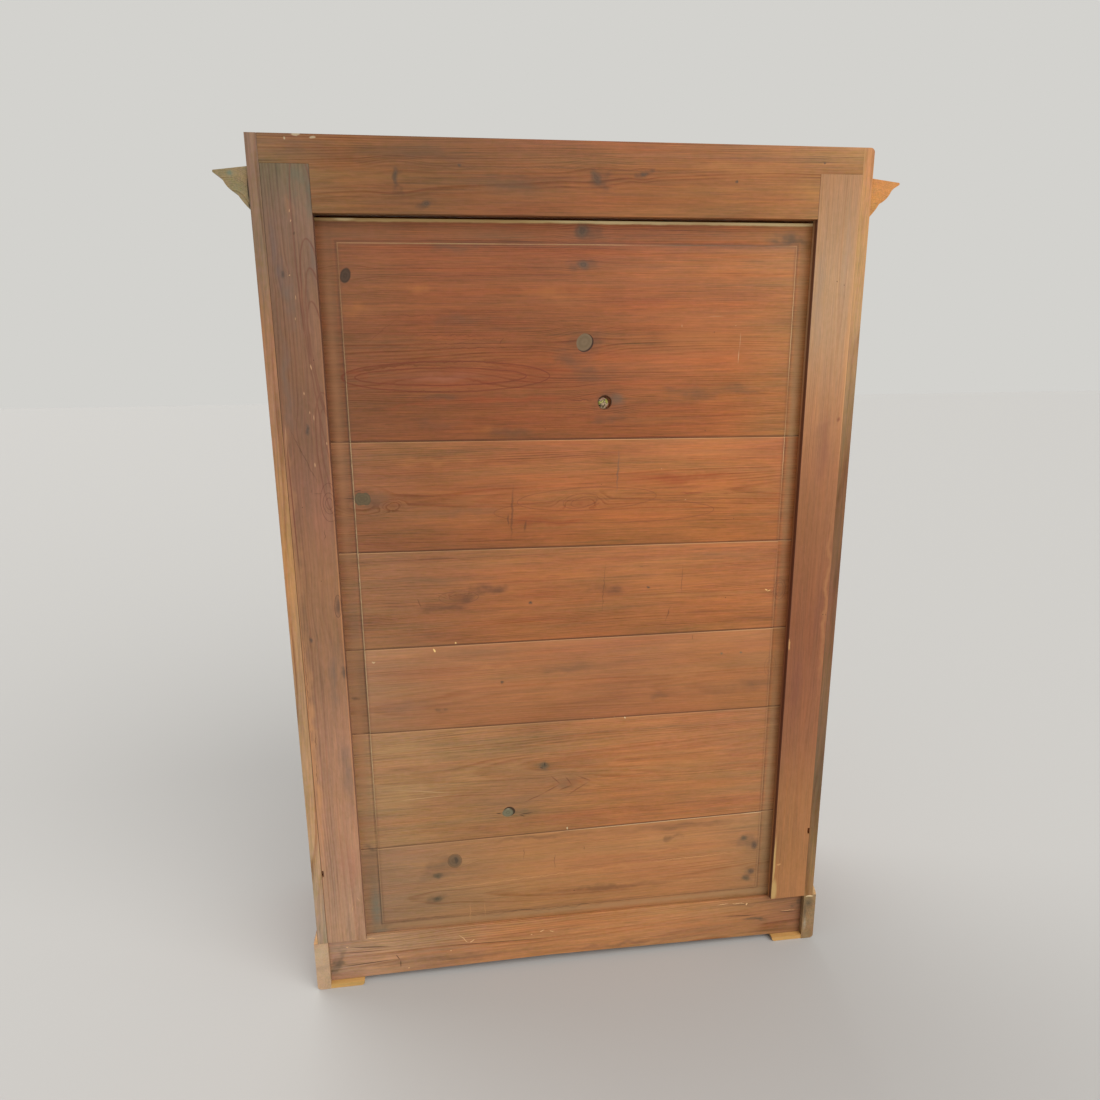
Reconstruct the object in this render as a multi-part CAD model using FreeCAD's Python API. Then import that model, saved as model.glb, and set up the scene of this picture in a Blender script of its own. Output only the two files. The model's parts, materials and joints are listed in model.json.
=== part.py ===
import FreeCAD, Part
import math
import os

# A tall pine display cabinet with two glazed doors, in millimetres.
# The doors face -Y and the framed back faces +Y. Left and right are as seen
# by someone who stands in front of the doors, so right is +X.
# The origin is on the floor, in the middle of the whole cabinet's box.

os.makedirs("parts", exist_ok=True)
Vec = FreeCAD.Vector

# Carcass
carcass_width = 1208.0
carcass_height = 1843.0
carcass_depth = 425.0
side_thickness = 22.0
worn_corner_radius = 9.0
housing_depth = 6.0
fit_gap = 0.2
overrun = 5.0

# Back frame, its plank panel and the slots beside it
back_stile_width = 88.0
back_frame_thickness = 36.0
back_top_rail_height = 134.0
back_top_rail_band = 50.0
back_rail_tenon = 50.0
back_stile_tenon = 30.0
back_tenon_margin = 14.0
panel_margin_depth = 20.5
panel_field_rise = 2.0
panel_tongue_thickness = 10.5
panel_groove_depth = 12.0
panel_drop = 5.0
plank_gap = 0.5
field_border_left = 32.5
field_border_right = 39.0
field_border_top = 45.0
field_border_bottom = 26.0
field_edge_chamfer = 1.2
# Heights of the joints between planks, as shares of the panel's height, each at the right
# and at the left end, because the planks were sawn slightly tapered.
plank_joint_shares = (
    (0.7341, 0.7285),
    (0.5896, 0.5833),
    (0.4538, 0.4538),
    (0.3300, 0.3300),
    (0.1483, 0.1565),
)
slot_width = 5.0
slot_height = 16.0
slot_reach = 12.0
slot_above_plinth = 176.0

# Plinth, its moulding and the pads under the rear rail
plinth_height = 125.0
plinth_thickness = 29.0
plinth_projection = 9.0
plinth_proud = 1.0
plinth_foot_radius = 9.0
moulding_height = 28.0
moulding_fillet = 3.0
# The middle of the moulding's curve, as shares of its projection and of its height
moulding_bulge_share = (0.47, 0.62)
rear_rail_recess = 12.0
rear_rail_thickness = 24.0
rear_rail_arch = 8.0
pad_length = 77.0
pad_height = 11.0
pad_depth = 60.0
pad_end_radius = 8.0

# Cornice
cornice_height = 73.5
cornice_projection = 62.0
cornice_below_top = 55.0
cornice_rear_setback = 6.0
# The section, as shares of the projection and of the drop from the inner top edge
nose_top_share = (0.945, 0.097)
nose_tip_share = (1.0, 0.132)
nose_foot_share = (0.973, 0.166)
cyma_start_share = (0.895, 0.207)
cyma_hollow_share = (0.803, 0.258)
cyma_middle_share = (0.726, 0.329)
cyma_round_share = (0.600, 0.495)
cyma_end_share = (0.403, 0.626)
quirk_share = (0.347, 0.650)
toe_round_share = (0.205, 0.830)
toe_end_share = (0.030, 1.0)

# Face frame
front_stile_width = 56.0
face_thickness = 24.0
lintel_thickness = 40.0
lintel_height = 143.0
sill_height = 36.0
face_tenon = 30.0
face_tenon_thickness = 9.0

# Boards inside
top_board_thickness = 18.0
top_board_below_rim = 12.0
bottom_board_thickness = 22.0
door_stop_height = 8.0
door_stop_gap = 0.5
shelf_thickness = 18.0
shelf_setback = 50.0
shelf_end_gap = 1.0
shelf_edge_radius = 4.0
shelf_rear_gap = 2.0
cleat_height = 22.0
cleat_thickness = 16.0
cleat_end_inset = 12.0
cleat_chamfer = 4.0

# Doors
door_gap = 2.0
door_thickness = 24.0
door_stile_width = 62.0
door_top_rail_height = 70.0
door_middle_rail_height = 70.0
door_bottom_rail_height = 90.0
door_lower_panel_height = 300.0
door_tenon = 40.0
door_tenon_thickness = 8.0
door_tenon_face = 11.0
sight_chamfer = 5.0
glass_rebate_width = 8.0
glass_rebate_face = 10.0
glass_thickness = 3.0
glass_gap = 0.4
glazing_bar_count = 2
glazing_bar_width = 20.0
bead_width = 7.0
bead_chamfer = 4.0
door_panel_tongue = 9.0
door_panel_face = 9.0
door_panel_tongue_thickness = 8.0
door_panel_border = 34.0
door_panel_rise = 5.0
door_panel_bevel = 26.0

# Hinges, three to a door
hinge_count = 3
hinge_height = 84.0
hinge_end_share = 0.085
hinge_leaf_thickness = 2.0
hinge_leaf_width = 19.0
knuckle_radius = 5.5
knuckle_wood_gap = 0.4
knuckle_end_gap = 0.4
pin_radius = 2.5
pin_clearance = 0.05
finial_radius = 4.2

# Lock, key and keyhole plate in the right door's meeting stile
lock_height_share = 0.50
lock_case_width = 44.0
lock_case_height = 64.0
lock_case_thickness = 13.0
lock_wall = 1.5
lock_plate_thickness = 2.0
lock_plate_height = 82.0
lock_plate_width = 14.0
bolt_height = 20.0
bolt_thickness = 6.0
bolt_length = 34.0
bolt_travel = 10.0
bolt_play = 0.4
key_below_bolt = 9.6
key_shaft_radius = 3.0
key_hole_play = 0.3
key_bit_reach = 9.0
key_bit_thickness = 2.6
key_shaft_out = 26.0
key_collar_radius = 4.4
key_collar_length = 4.0
key_bow_radius = 10.0
key_bow_wire = 2.4
plate_half_height = 23.0
plate_half_width = 12.0
plate_thickness = 1.5

# Slide bolts inside the left door's meeting stile
slide_travel = 12.0
slide_rod_radius = 4.0
slide_rod_length = 150.0
slide_rod_play = 0.3
slide_plate_length = 110.0
slide_plate_width = 30.0
slide_plate_thickness = 2.0
slide_guide_width = 18.0
slide_guide_height = 12.0
slide_end_gap = 2.5
slide_hole_spare = 3.0
slide_knob_radius = 5.0
slide_knob_reach = 12.0
slide_knob_neck_radius = 3.0

# Main planes worked out from the sizes above
half_width = carcass_width / 2
inner_half = half_width - side_thickness
front_y = cornice_projection - (cornice_projection + carcass_depth + plinth_proud) / 2
rear_y = front_y + carcass_depth
frame_front_y = rear_y - back_frame_thickness
opening_half = half_width - front_stile_width
sill_top = plinth_height + sill_height
lintel_bottom = carcass_height - lintel_height
bottom_board_top = sill_top + door_gap + door_stop_height
bottom_board_bottom = bottom_board_top - bottom_board_thickness
top_board_top = carcass_height - top_board_below_rim
top_board_bottom = top_board_top - top_board_thickness
door_back_y = front_y + door_thickness
door_bottom = sill_top + door_gap
door_top = lintel_bottom - door_gap
door_hinge_x = opening_half - door_gap
door_meet_x = door_gap / 2

# The door's two openings
panel_open_x0 = door_meet_x + door_stile_width
panel_open_x1 = door_hinge_x - door_stile_width
lower_open_z0 = door_bottom + door_bottom_rail_height
lower_open_z1 = lower_open_z0 + door_lower_panel_height
glass_open_z0 = lower_open_z1 + door_middle_rail_height
glass_open_z1 = door_top - door_top_rail_height
glass_open_height = glass_open_z1 - glass_open_z0
pane_open_height = (glass_open_height - glazing_bar_count * glazing_bar_width) / (glazing_bar_count + 1)

# The back panel
back_inner_half = inner_half - back_stile_width
back_top_rail_bottom = carcass_height - back_top_rail_height
back_stile_top = carcass_height - back_top_rail_band
panel_top = back_top_rail_bottom - panel_drop
panel_bottom = plinth_height - panel_groove_depth
panel_height = panel_top - panel_bottom

# The lock
bolt_z = door_bottom + (door_top - door_bottom) * lock_height_share
key_z = bolt_z - bolt_height / 2 - key_below_bolt
key_x = door_meet_x + lock_plate_thickness + lock_case_width / 2
lock_face_y = door_back_y - lock_case_thickness
bolt_y0 = (lock_face_y + door_back_y - bolt_thickness) / 2

# The hinges' common axis on the right
hinge_x = opening_half - door_gap / 2
hinge_y = front_y - knuckle_radius - knuckle_wood_gap

# The slide bolts
slide_x = -(door_meet_x + (door_stile_width - glass_rebate_width) / 2)
slide_y = door_back_y + slide_plate_thickness + slide_rod_radius + slide_rod_play
slide_hole_depth = slide_travel + slide_hole_spare


def block(x0, x1, y0, y1, z0, z1):
    return Part.makeBox(x1 - x0, y1 - y0, z1 - z0, Vec(x0, y0, z0))


def mirrored(shape):
    return shape.mirror(Vec(0, 0, 0), Vec(1, 0, 0))


def prism(points, along):
    wire = Part.makePolygon(list(points) + [points[0]])
    return Part.Face(wire).extrude(along)


def upright(outline, z0, z1):
    # A solid with a plan outline of (x, y) points.
    return prism([Vec(x, y, z0) for x, y in outline], Vec(0, 0, z1 - z0))


def slab(outline, y0, y1):
    # A solid with a front outline of (x, z) points.
    return prism([Vec(x, y0, z) for x, z in outline], Vec(0, y1 - y0, 0))


def frustum(x0, x1, z0, z1, y_wide, y_narrow, spread):
    # A four-sided taper along Y, wider than the rectangle by spread at y_wide.
    def rectangle(grow, y):
        corners = (
            Vec(x0 - grow, y, z0 - grow),
            Vec(x1 + grow, y, z0 - grow),
            Vec(x1 + grow, y, z1 + grow),
            Vec(x0 - grow, y, z1 + grow),
        )
        return Part.makePolygon(list(corners) + [corners[0]])

    return Part.makeLoft([rectangle(spread, y_wide), rectangle(0, y_narrow)], True, True)


def edges_where(shape, test):
    return [edge for edge in shape.Edges if test(edge)]


def lies_at(edge, along, **places):
    # True for a straight edge that runs along one axis through the given places.
    ends = [v.Point for v in edge.Vertexes]
    if len(ends) != 2:
        return False
    span = ends[1] - ends[0]
    if abs(getattr(span, along)) < 0.999 * span.Length:
        return False
    return all(abs(getattr(p, axis) - at) < fit_gap for p in ends for axis, at in places.items())


def back_top_rail():
    # A rail with a full-width band above and shoulders that drop between the stiles.
    outline = [
        (-inner_half, carcass_height),
        (-inner_half, back_stile_top),
        (-back_inner_half, back_stile_top),
        (-back_inner_half, back_top_rail_bottom),
        (back_inner_half, back_top_rail_bottom),
        (back_inner_half, back_stile_top),
        (inner_half, back_stile_top),
        (inner_half, carcass_height),
    ]
    rail = slab(outline, frame_front_y, rear_y)
    rail = rail.cut(panel_groove(back_top_rail_bottom, back_top_rail_bottom + panel_groove_depth))
    for tenon in back_rail_tenons(0):
        rail = rail.fuse(tenon)
    return rail.removeSplitter()


def tongue_y():
    far = rear_y - panel_margin_depth
    return far - panel_tongue_thickness, far


def panel_groove(z0, z1):
    near, far = tongue_y()
    half = back_inner_half + panel_groove_depth
    return block(-half, half, near - fit_gap, far + fit_gap, z0, z1)


def back_rail_tenons(play):
    near, far = tongue_y()
    low = back_top_rail_bottom + panel_groove_depth + back_tenon_margin - play
    high = back_stile_top - back_tenon_margin + play
    reach = back_inner_half + back_rail_tenon + play
    return [
        block(back_inner_half, reach, near - play, far + play, low, high),
        block(-reach, -back_inner_half, near - play, far + play, low, high),
    ]


def back_stile_foot(play):
    near, far = tongue_y()
    return block(
        back_inner_half + panel_groove_depth + back_tenon_margin - play,
        inner_half - back_tenon_margin + play,
        near - play,
        far + play,
        plinth_height - back_stile_tenon - play,
        plinth_height,
    )


def back_stile():
    # The right-hand stile, with its groove, mortise, foot tenon and the slot in its edge.
    stile = block(back_inner_half, inner_half, frame_front_y, rear_y, plinth_height, back_stile_top)
    stile = stile.cut(panel_groove(plinth_height - overrun, back_stile_top + overrun))
    stile = stile.cut(back_rail_tenons(fit_gap)[0])
    slot_z = plinth_height + slot_above_plinth
    slot = block(
        inner_half - slot_width,
        inner_half + overrun,
        rear_y - slot_reach,
        rear_y + overrun,
        slot_z,
        slot_z + slot_height,
    )
    return stile.cut(slot).fuse(back_stile_foot(0)).removeSplitter()


def rear_rail():
    # The plinth's rear rail, set in from the back frame, with a gently arched lower edge.
    y0 = rear_y - rear_rail_recess - rear_rail_thickness
    low = pad_height
    start = Vec(-inner_half, y0, low)
    crown = Vec(0, y0, low + rear_rail_arch)
    end = Vec(inner_half, y0, low)
    wire = Part.Wire(
        [
            Part.Arc(start, crown, end).toShape(),
            Part.LineSegment(end, Vec(inner_half, y0, plinth_height)).toShape(),
            Part.LineSegment(Vec(inner_half, y0, plinth_height), Vec(-inner_half, y0, plinth_height)).toShape(),
            Part.LineSegment(Vec(-inner_half, y0, plinth_height), start).toShape(),
        ]
    )
    rail = Part.Face(wire).extrude(Vec(0, rear_rail_thickness, 0))
    rail = rail.cut(panel_groove(panel_bottom - fit_gap, plinth_height + overrun))
    foot = back_stile_foot(fit_gap)
    return rail.cut(foot).cut(mirrored(foot))


def plank_edges():
    # Heights of the planks' edges from the top down, at the right and left ends.
    joints = [(panel_bottom + a * panel_height, panel_bottom + b * panel_height) for a, b in plank_joint_shares]
    return [(panel_top, panel_top)] + joints + [(panel_bottom, panel_bottom)]


def back_plank(upper, lower, gap_above, gap_below):
    # One plank: a tongued slab with its share of the raised field on the rear face.
    near, far = tongue_y()
    half = back_inner_half + panel_groove_depth - fit_gap

    def height_at(edge, x):
        right, left = edge
        return left + (right - left) * (x + half) / (2 * half)

    def plank_outline(x0, x1, low_limit, high_limit):
        return [
            (x0, max(height_at(lower, x0) + gap_below, low_limit)),
            (x1, max(height_at(lower, x1) + gap_below, low_limit)),
            (x1, min(height_at(upper, x1) - gap_above, high_limit)),
            (x0, min(height_at(upper, x0) - gap_above, high_limit)),
        ]

    plank = slab(plank_outline(-half, half, panel_bottom, panel_top), near, far)
    x0 = field_border_left - back_inner_half
    x1 = back_inner_half - field_border_right
    z0 = plinth_height + field_border_bottom
    z1 = panel_top - field_border_top
    field = slab(plank_outline(x0, x1, z0, z1), far, far + panel_field_rise)
    lip = frustum(x0, x1, z0, z1, far, far + panel_field_rise, field_edge_chamfer)
    field = field.fuse(lip.common(slab(plank_outline(-half, half, panel_bottom, panel_top), far, rear_y)))
    return plank.fuse(field).removeSplitter()


def back_planks():
    edges = plank_edges()
    planks = []
    for index in range(len(edges) - 1):
        above = 0 if index == 0 else plank_gap / 2
        below = 0 if index == len(edges) - 2 else plank_gap / 2
        planks.append(back_plank(edges[index], edges[index + 1], above, below))
    return planks


def side_board(worn):
    # The right-hand side: a plain board with housings for the top and bottom boards.
    board = block(inner_half, half_width, front_y + face_thickness, rear_y, plinth_height, carcass_height)
    for z0, z1 in ((bottom_board_bottom, bottom_board_top), (top_board_bottom, top_board_top)):
        housing = block(
            inner_half - overrun,
            inner_half + housing_depth,
            front_y + face_thickness - overrun,
            frame_front_y,
            z0,
            z1,
        )
        board = board.cut(housing)
    if worn:
        edge = edges_where(board, lambda e: lies_at(e, "y", x=half_width, z=carcass_height))
        board = board.makeFillet(worn_corner_radius, edge)
    return board


def top_board():
    # A board in the sides' housings, notched round the lintel.
    half = inner_half + housing_depth - fit_gap
    board = block(-half, half, front_y + face_thickness, frame_front_y, top_board_bottom, top_board_top)
    notch = block(
        -opening_half,
        opening_half,
        front_y,
        front_y + lintel_thickness,
        top_board_bottom - overrun,
        top_board_top + overrun,
    )
    return board.cut(notch)


def slide_hole(z0, z1):
    reach = slide_rod_radius + slide_rod_play
    return Part.makeCylinder(reach, z1 - z0, Vec(slide_x, slide_y, z0))


def bottom_board():
    half = inner_half + housing_depth - fit_gap
    y0 = door_back_y + door_stop_gap
    board = block(-half, half, y0, frame_front_y, bottom_board_bottom, bottom_board_top)
    return board.cut(slide_hole(bottom_board_top - slide_hole_depth, bottom_board_top + overrun))


def shelf_heights():
    # Top faces: one behind the middle rail, the others behind the glazing bars.
    heights = [(lower_open_z1 + glass_open_z0) / 2]
    for index in range(glazing_bar_count):
        bar_low = glass_open_z0 + pane_open_height + index * (pane_open_height + glazing_bar_width)
        heights.append(bar_low + glazing_bar_width / 2)
    return [height + shelf_thickness / 2 for height in heights]


def shelf(top):
    half = inner_half - shelf_end_gap
    y0 = front_y + shelf_setback
    y1 = frame_front_y - shelf_rear_gap
    board = block(-half, half, y0, y1, top - shelf_thickness, top)
    front = edges_where(board, lambda e: lies_at(e, "x", y=y0))
    return board.makeFillet(shelf_edge_radius, front)


def shelf_cleats():
    # A batten under each end of each shelf, with its inner lower edge taken off.
    cleats = []
    for top in shelf_heights():
        z1 = top - shelf_thickness
        x0 = inner_half - cleat_thickness
        cleat = block(
            x0,
            inner_half,
            front_y + shelf_setback + cleat_end_inset,
            frame_front_y - cleat_end_inset,
            z1 - cleat_height,
            z1,
        )
        low = edges_where(cleat, lambda e: lies_at(e, "y", x=x0, z=z1 - cleat_height))
        cleat = cleat.makeChamfer(cleat_chamfer, low)
        cleats += [cleat, mirrored(cleat)]
    return cleats


def front_stile():
    # The right-hand stile of the face frame, with recesses for the hinge leaves.
    stile = block(opening_half, half_width, front_y, front_y + face_thickness, plinth_height, carcass_height)
    for mortise in face_tenons(fit_gap):
        stile = stile.cut(mortise)
    for z0 in hinge_starts():
        recess = block(
            opening_half - overrun,
            opening_half + hinge_leaf_thickness,
            front_y - overrun,
            front_y + hinge_leaf_width,
            z0,
            z0 + hinge_height,
        )
        stile = stile.cut(recess)
    return stile


def face_tenons(play):
    # The tenons of the lintel and the sill into the right-hand stile.
    y0 = front_y + (face_thickness - face_tenon_thickness) / 2
    spans = ((plinth_height, sill_top), (lintel_bottom, carcass_height))
    shoulder = face_tenon_thickness
    tenons = []
    for low, high in spans:
        tenons.append(
            block(
                opening_half,
                opening_half + face_tenon + play,
                y0 - play,
                y0 + face_tenon_thickness + play,
                low + shoulder - play,
                high - shoulder + play,
            )
        )
    return tenons


def face_rail(index, low, high, thickness):
    rail = block(-opening_half, opening_half, front_y, front_y + thickness, low, high)
    tenon = face_tenons(0)[index]
    return rail.fuse(tenon).fuse(mirrored(tenon)).removeSplitter()


def lintel():
    rail = face_rail(1, lintel_bottom, carcass_height, lintel_thickness)
    return rail.cut(slide_hole(lintel_bottom - overrun, lintel_bottom + slide_hole_depth))


def sill():
    return face_rail(0, plinth_height, sill_top, face_thickness)


def ring_plans(inner_x, outer_x, inner_y, outer_y, back_y):
    # Plan outlines of a front length and a right-hand length that meet in a mitre.
    front = [(-outer_x, outer_y), (outer_x, outer_y), (inner_x, inner_y), (-inner_x, inner_y)]
    side = [(outer_x, outer_y), (outer_x, back_y), (inner_x, back_y), (inner_x, inner_y)]
    return front, side


def plinth_pieces():
    front, side = ring_plans(
        inner_half,
        half_width + plinth_projection,
        front_y + plinth_thickness - plinth_projection,
        front_y - plinth_projection,
        rear_y + plinth_proud,
    )
    lengths = [upright(front, 0, plinth_height), upright(side, 0, plinth_height)]
    # The outer lower edges are rounded by wear.
    tests = (
        lambda e: lies_at(e, "x", y=front_y - plinth_projection, z=0),
        lambda e: lies_at(e, "y", x=half_width + plinth_projection, z=0),
    )
    return [piece.makeFillet(plinth_foot_radius, edges_where(piece, test)) for piece, test in zip(lengths, tests)]


def section_bars(section, reach, depth):
    # Runs one section of (out, z) edges along the front and along the right side.
    # section takes a function that places a point, and returns a closed wire.
    def on_front(out, z):
        return Vec(-reach, front_y - out, z)

    def on_side(out, z):
        return Vec(half_width + out, front_y - reach, z)

    front = Part.Face(section(on_front)).extrude(Vec(2 * reach, 0, 0))
    side = Part.Face(section(on_side)).extrude(Vec(0, reach + depth, 0))
    return front, side


def mitred(section, projection, z0, z1, back_y):
    reach = projection + overrun
    plans = ring_plans(half_width, half_width + reach, front_y, front_y - reach, back_y)
    bars = section_bars(section, carcass_width, carcass_depth)
    return [bar.common(upright(plan, z0, z1)) for bar, plan in zip(bars, plans)]


def line(a, b):
    return Part.LineSegment(a, b).toShape()


def plinth_moulding_section(place):
    z0 = plinth_height
    heel = place(0, z0)
    toe = place(plinth_projection, z0)
    fillet = place(plinth_projection, z0 + moulding_fillet)
    top = place(0, z0 + moulding_height)
    bulge_out, bulge_up = moulding_bulge_share
    bulge_z = z0 + moulding_fillet + (moulding_height - moulding_fillet) * bulge_up
    bulge = place(plinth_projection * bulge_out, bulge_z)
    return Part.Wire([line(heel, toe), line(toe, fillet), Part.Arc(fillet, bulge, top).toShape(), line(top, heel)])


def plinth_moulding():
    z1 = plinth_height + moulding_height
    front, side = mitred(plinth_moulding_section, plinth_projection, plinth_height, z1, rear_y)
    return [front, side, mirrored(side)]


def cornice_section(place):
    top = carcass_height - cornice_below_top

    def at(share):
        return place(share[0] * cornice_projection, top - share[1] * cornice_height)

    heel = place(0, top)
    foot = place(0, top - cornice_height)
    return Part.Wire(
        [
            line(heel, at(nose_top_share)),
            Part.Arc(at(nose_top_share), at(nose_tip_share), at(nose_foot_share)).toShape(),
            line(at(nose_foot_share), at(cyma_start_share)),
            Part.Arc(at(cyma_start_share), at(cyma_hollow_share), at(cyma_middle_share)).toShape(),
            Part.Arc(at(cyma_middle_share), at(cyma_round_share), at(cyma_end_share)).toShape(),
            line(at(cyma_end_share), at(quirk_share)),
            Part.Arc(at(quirk_share), at(toe_round_share), at(toe_end_share)).toShape(),
            line(at(toe_end_share), foot),
            line(foot, heel),
        ]
    )


def cornice_pieces():
    top = carcass_height - cornice_below_top
    return mitred(cornice_section, cornice_projection, top - cornice_height, top, rear_y - cornice_rear_setback)


def rear_pad():
    # The right-hand pad under the rear rail, its inner end rounded upwards.
    x1 = inner_half
    x0 = x1 - pad_length
    pad = block(x0, x1, rear_y - pad_depth, rear_y, 0, pad_height)
    toe = edges_where(pad, lambda e: lies_at(e, "y", x=x0, z=0))
    return pad.makeFillet(pad_end_radius, toe)


def lower_pocket():
    # The groove round the door's lower panel.
    y0 = front_y + door_panel_face
    return block(
        panel_open_x0 - door_panel_tongue,
        panel_open_x1 + door_panel_tongue,
        y0,
        y0 + door_panel_tongue_thickness + fit_gap,
        lower_open_z0 - door_panel_tongue,
        lower_open_z1 + door_panel_tongue,
    )


def glass_pocket():
    # The rebate round the door's glazed opening, open at the door's back.
    return block(
        panel_open_x0 - glass_rebate_width,
        panel_open_x1 + glass_rebate_width,
        front_y + glass_rebate_face,
        door_back_y + overrun,
        glass_open_z0 - glass_rebate_width,
        glass_open_z1 + glass_rebate_width,
    )


def sight_cut(z0, z1):
    # The chamfer round an opening's front edge, mitred at its corners.
    return frustum(panel_open_x0, panel_open_x1, z0, z1, front_y, front_y + sight_chamfer, sight_chamfer)


def worked(member):
    # Works the grooves, rebate and chamfers that all members of a door's frame share.
    for tool in (
        lower_pocket(),
        glass_pocket(),
        sight_cut(lower_open_z0, lower_open_z1),
        sight_cut(glass_open_z0, glass_open_z1),
    ):
        member = member.cut(tool)
    return member


def rail_spans():
    return {
        "bottom_rail": (door_bottom, lower_open_z0),
        "middle_rail": (lower_open_z1, glass_open_z0),
        "top_rail": (glass_open_z1, door_top),
    }


def rail_tenons(name, play):
    low, high = rail_spans()[name]
    inset = max(door_panel_tongue, glass_rebate_width) + door_tenon_thickness / 2
    y0 = front_y + door_tenon_face
    depth = (y0 - play, y0 + door_tenon_thickness + play)
    z0 = low + inset - play
    z1 = high - inset + play
    return [
        block(panel_open_x0 - door_tenon - play, panel_open_x0, *depth, z0, z1),
        block(panel_open_x1, panel_open_x1 + door_tenon + play, *depth, z0, z1),
    ]


def door_rail(name):
    low, high = rail_spans()[name]
    rail = worked(block(panel_open_x0, panel_open_x1, front_y, door_back_y, low, high))
    for tenon in rail_tenons(name, 0):
        rail = rail.fuse(tenon)
    return rail.removeSplitter()


def door_stile(x0, x1):
    stile = worked(block(x0, x1, front_y, door_back_y, door_bottom, door_top))
    for name in rail_spans():
        for mortise in rail_tenons(name, fit_gap):
            stile = stile.cut(mortise)
    return stile


def hinge_stile():
    stile = door_stile(panel_open_x1, door_hinge_x)
    for z0 in hinge_starts():
        recess = block(
            door_hinge_x - hinge_leaf_thickness,
            door_hinge_x + overrun,
            front_y - overrun,
            front_y + hinge_leaf_width,
            z0,
            z0 + hinge_height,
        )
        stile = stile.cut(recess)
    return stile


def active_meeting_stile():
    # The right door's meeting stile, cut for the lock case and the keyhole.
    stile = door_stile(door_meet_x, panel_open_x0)
    return stile.cut(lock_envelope()).cut(keyhole(front_y - overrun, door_back_y))


def passive_meeting_stile():
    # The left door's meeting stile, with the mortise that takes the lock bolt.
    stile = mirrored(door_stile(door_meet_x, panel_open_x0))
    mortise = block(
        -door_meet_x - bolt_travel - bolt_play,
        -door_meet_x + overrun,
        bolt_y0 - bolt_play,
        bolt_y0 + bolt_thickness + bolt_play,
        bolt_z - bolt_height / 2 - bolt_play,
        bolt_z + bolt_height / 2 + bolt_play,
    )
    return stile.cut(mortise)


def door_panel():
    # A fielded panel: its tongue sits in the groove and its middle rises in front.
    y0 = front_y + door_panel_face
    tongue = door_panel_tongue - fit_gap
    base = block(
        panel_open_x0 - tongue,
        panel_open_x1 + tongue,
        y0,
        y0 + door_panel_tongue_thickness,
        lower_open_z0 - tongue,
        lower_open_z1 + tongue,
    )
    border = door_panel_border
    field = frustum(
        panel_open_x0 + border,
        panel_open_x1 - border,
        lower_open_z0 + border,
        lower_open_z1 - border,
        y0,
        y0 - door_panel_rise,
        door_panel_bevel,
    )
    return base.fuse(field).removeSplitter()


def glazing_bars():
    # Bars with a rebate above and below, whose webs reach into the frame's rebates.
    half_web = (glazing_bar_width - 2 * bead_width) / 2
    bars = []
    for index in range(glazing_bar_count):
        low = glass_open_z0 + pane_open_height + index * (pane_open_height + glazing_bar_width)
        high = low + glazing_bar_width
        middle = (low + high) / 2
        face = block(panel_open_x0, panel_open_x1, front_y, front_y + glass_rebate_face, low, high)
        for z0, z1 in ((low - pane_open_height, low), (high, high + pane_open_height)):
            face = face.cut(sight_cut(z0, z1))
        web = block(
            panel_open_x0 - glass_rebate_width,
            panel_open_x1 + glass_rebate_width,
            front_y + glass_rebate_face,
            door_back_y,
            middle - half_web,
            middle + half_web,
        )
        bars.append(face.fuse(web).removeSplitter())
    return bars


def pane_cells():
    # The space of each pane between the frame's rebates and the bars' webs.
    half_web = (glazing_bar_width - 2 * bead_width) / 2
    cells = []
    for index in range(glazing_bar_count + 1):
        low = glass_open_z0 + index * (pane_open_height + glazing_bar_width)
        high = low + pane_open_height
        low -= glass_rebate_width if index == 0 else glazing_bar_width / 2 - half_web
        high += glass_rebate_width if index == glazing_bar_count else glazing_bar_width / 2 - half_web
        cells.append((low, high))
    return cells


def glass_panes():
    x0 = panel_open_x0 - glass_rebate_width + glass_gap
    x1 = panel_open_x1 + glass_rebate_width - glass_gap
    y0 = front_y + glass_rebate_face
    return [block(x0, x1, y0, y0 + glass_thickness, low + glass_gap, high - glass_gap) for low, high in pane_cells()]


def glazing_beads():
    # Four mitred beads hold each pane in its rebate from behind.
    x0 = panel_open_x0 - glass_rebate_width
    x1 = panel_open_x1 + glass_rebate_width
    y0 = front_y + glass_rebate_face + glass_thickness
    beads = []
    for low, high in pane_cells():
        middle_x = (x0 + x1) / 2
        middle_z = (low + high) / 2
        inner = (x0 + bead_width, x1 - bead_width, low + bead_width, high - bead_width)
        outlines = (
            [(x0, low), (x1, low), (inner[1], inner[2]), (inner[0], inner[2])],
            [(x1, low), (x1, high), (inner[1], inner[3]), (inner[1], inner[2])],
            [(x1, high), (x0, high), (inner[0], inner[3]), (inner[1], inner[3])],
            [(x0, high), (x0, low), (inner[0], inner[2]), (inner[0], inner[3])],
        )
        chamfer = frustum(*inner, door_back_y, door_back_y - bead_chamfer, bead_chamfer)
        for outline in outlines:
            beads.append(slab(outline, y0, door_back_y).cut(chamfer))
    return beads


def hinge_starts():
    span = door_top - door_bottom
    first = door_bottom + span * hinge_end_share
    last = door_top - span * hinge_end_share - hinge_height
    step = (last - first) / (hinge_count - 1)
    return [first + index * step for index in range(hinge_count)]


def knuckles_of(z0):
    # Spans of the three knuckles: the outer two are the frame's, the middle one the door's.
    third = hinge_height / 3
    gap = knuckle_end_gap / 2
    return {
        "frame": [(z0, z0 + third - gap), (z0 + 2 * third + gap, z0 + hinge_height)],
        "door": [(z0 + third + gap, z0 + 2 * third - gap)],
    }


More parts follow.
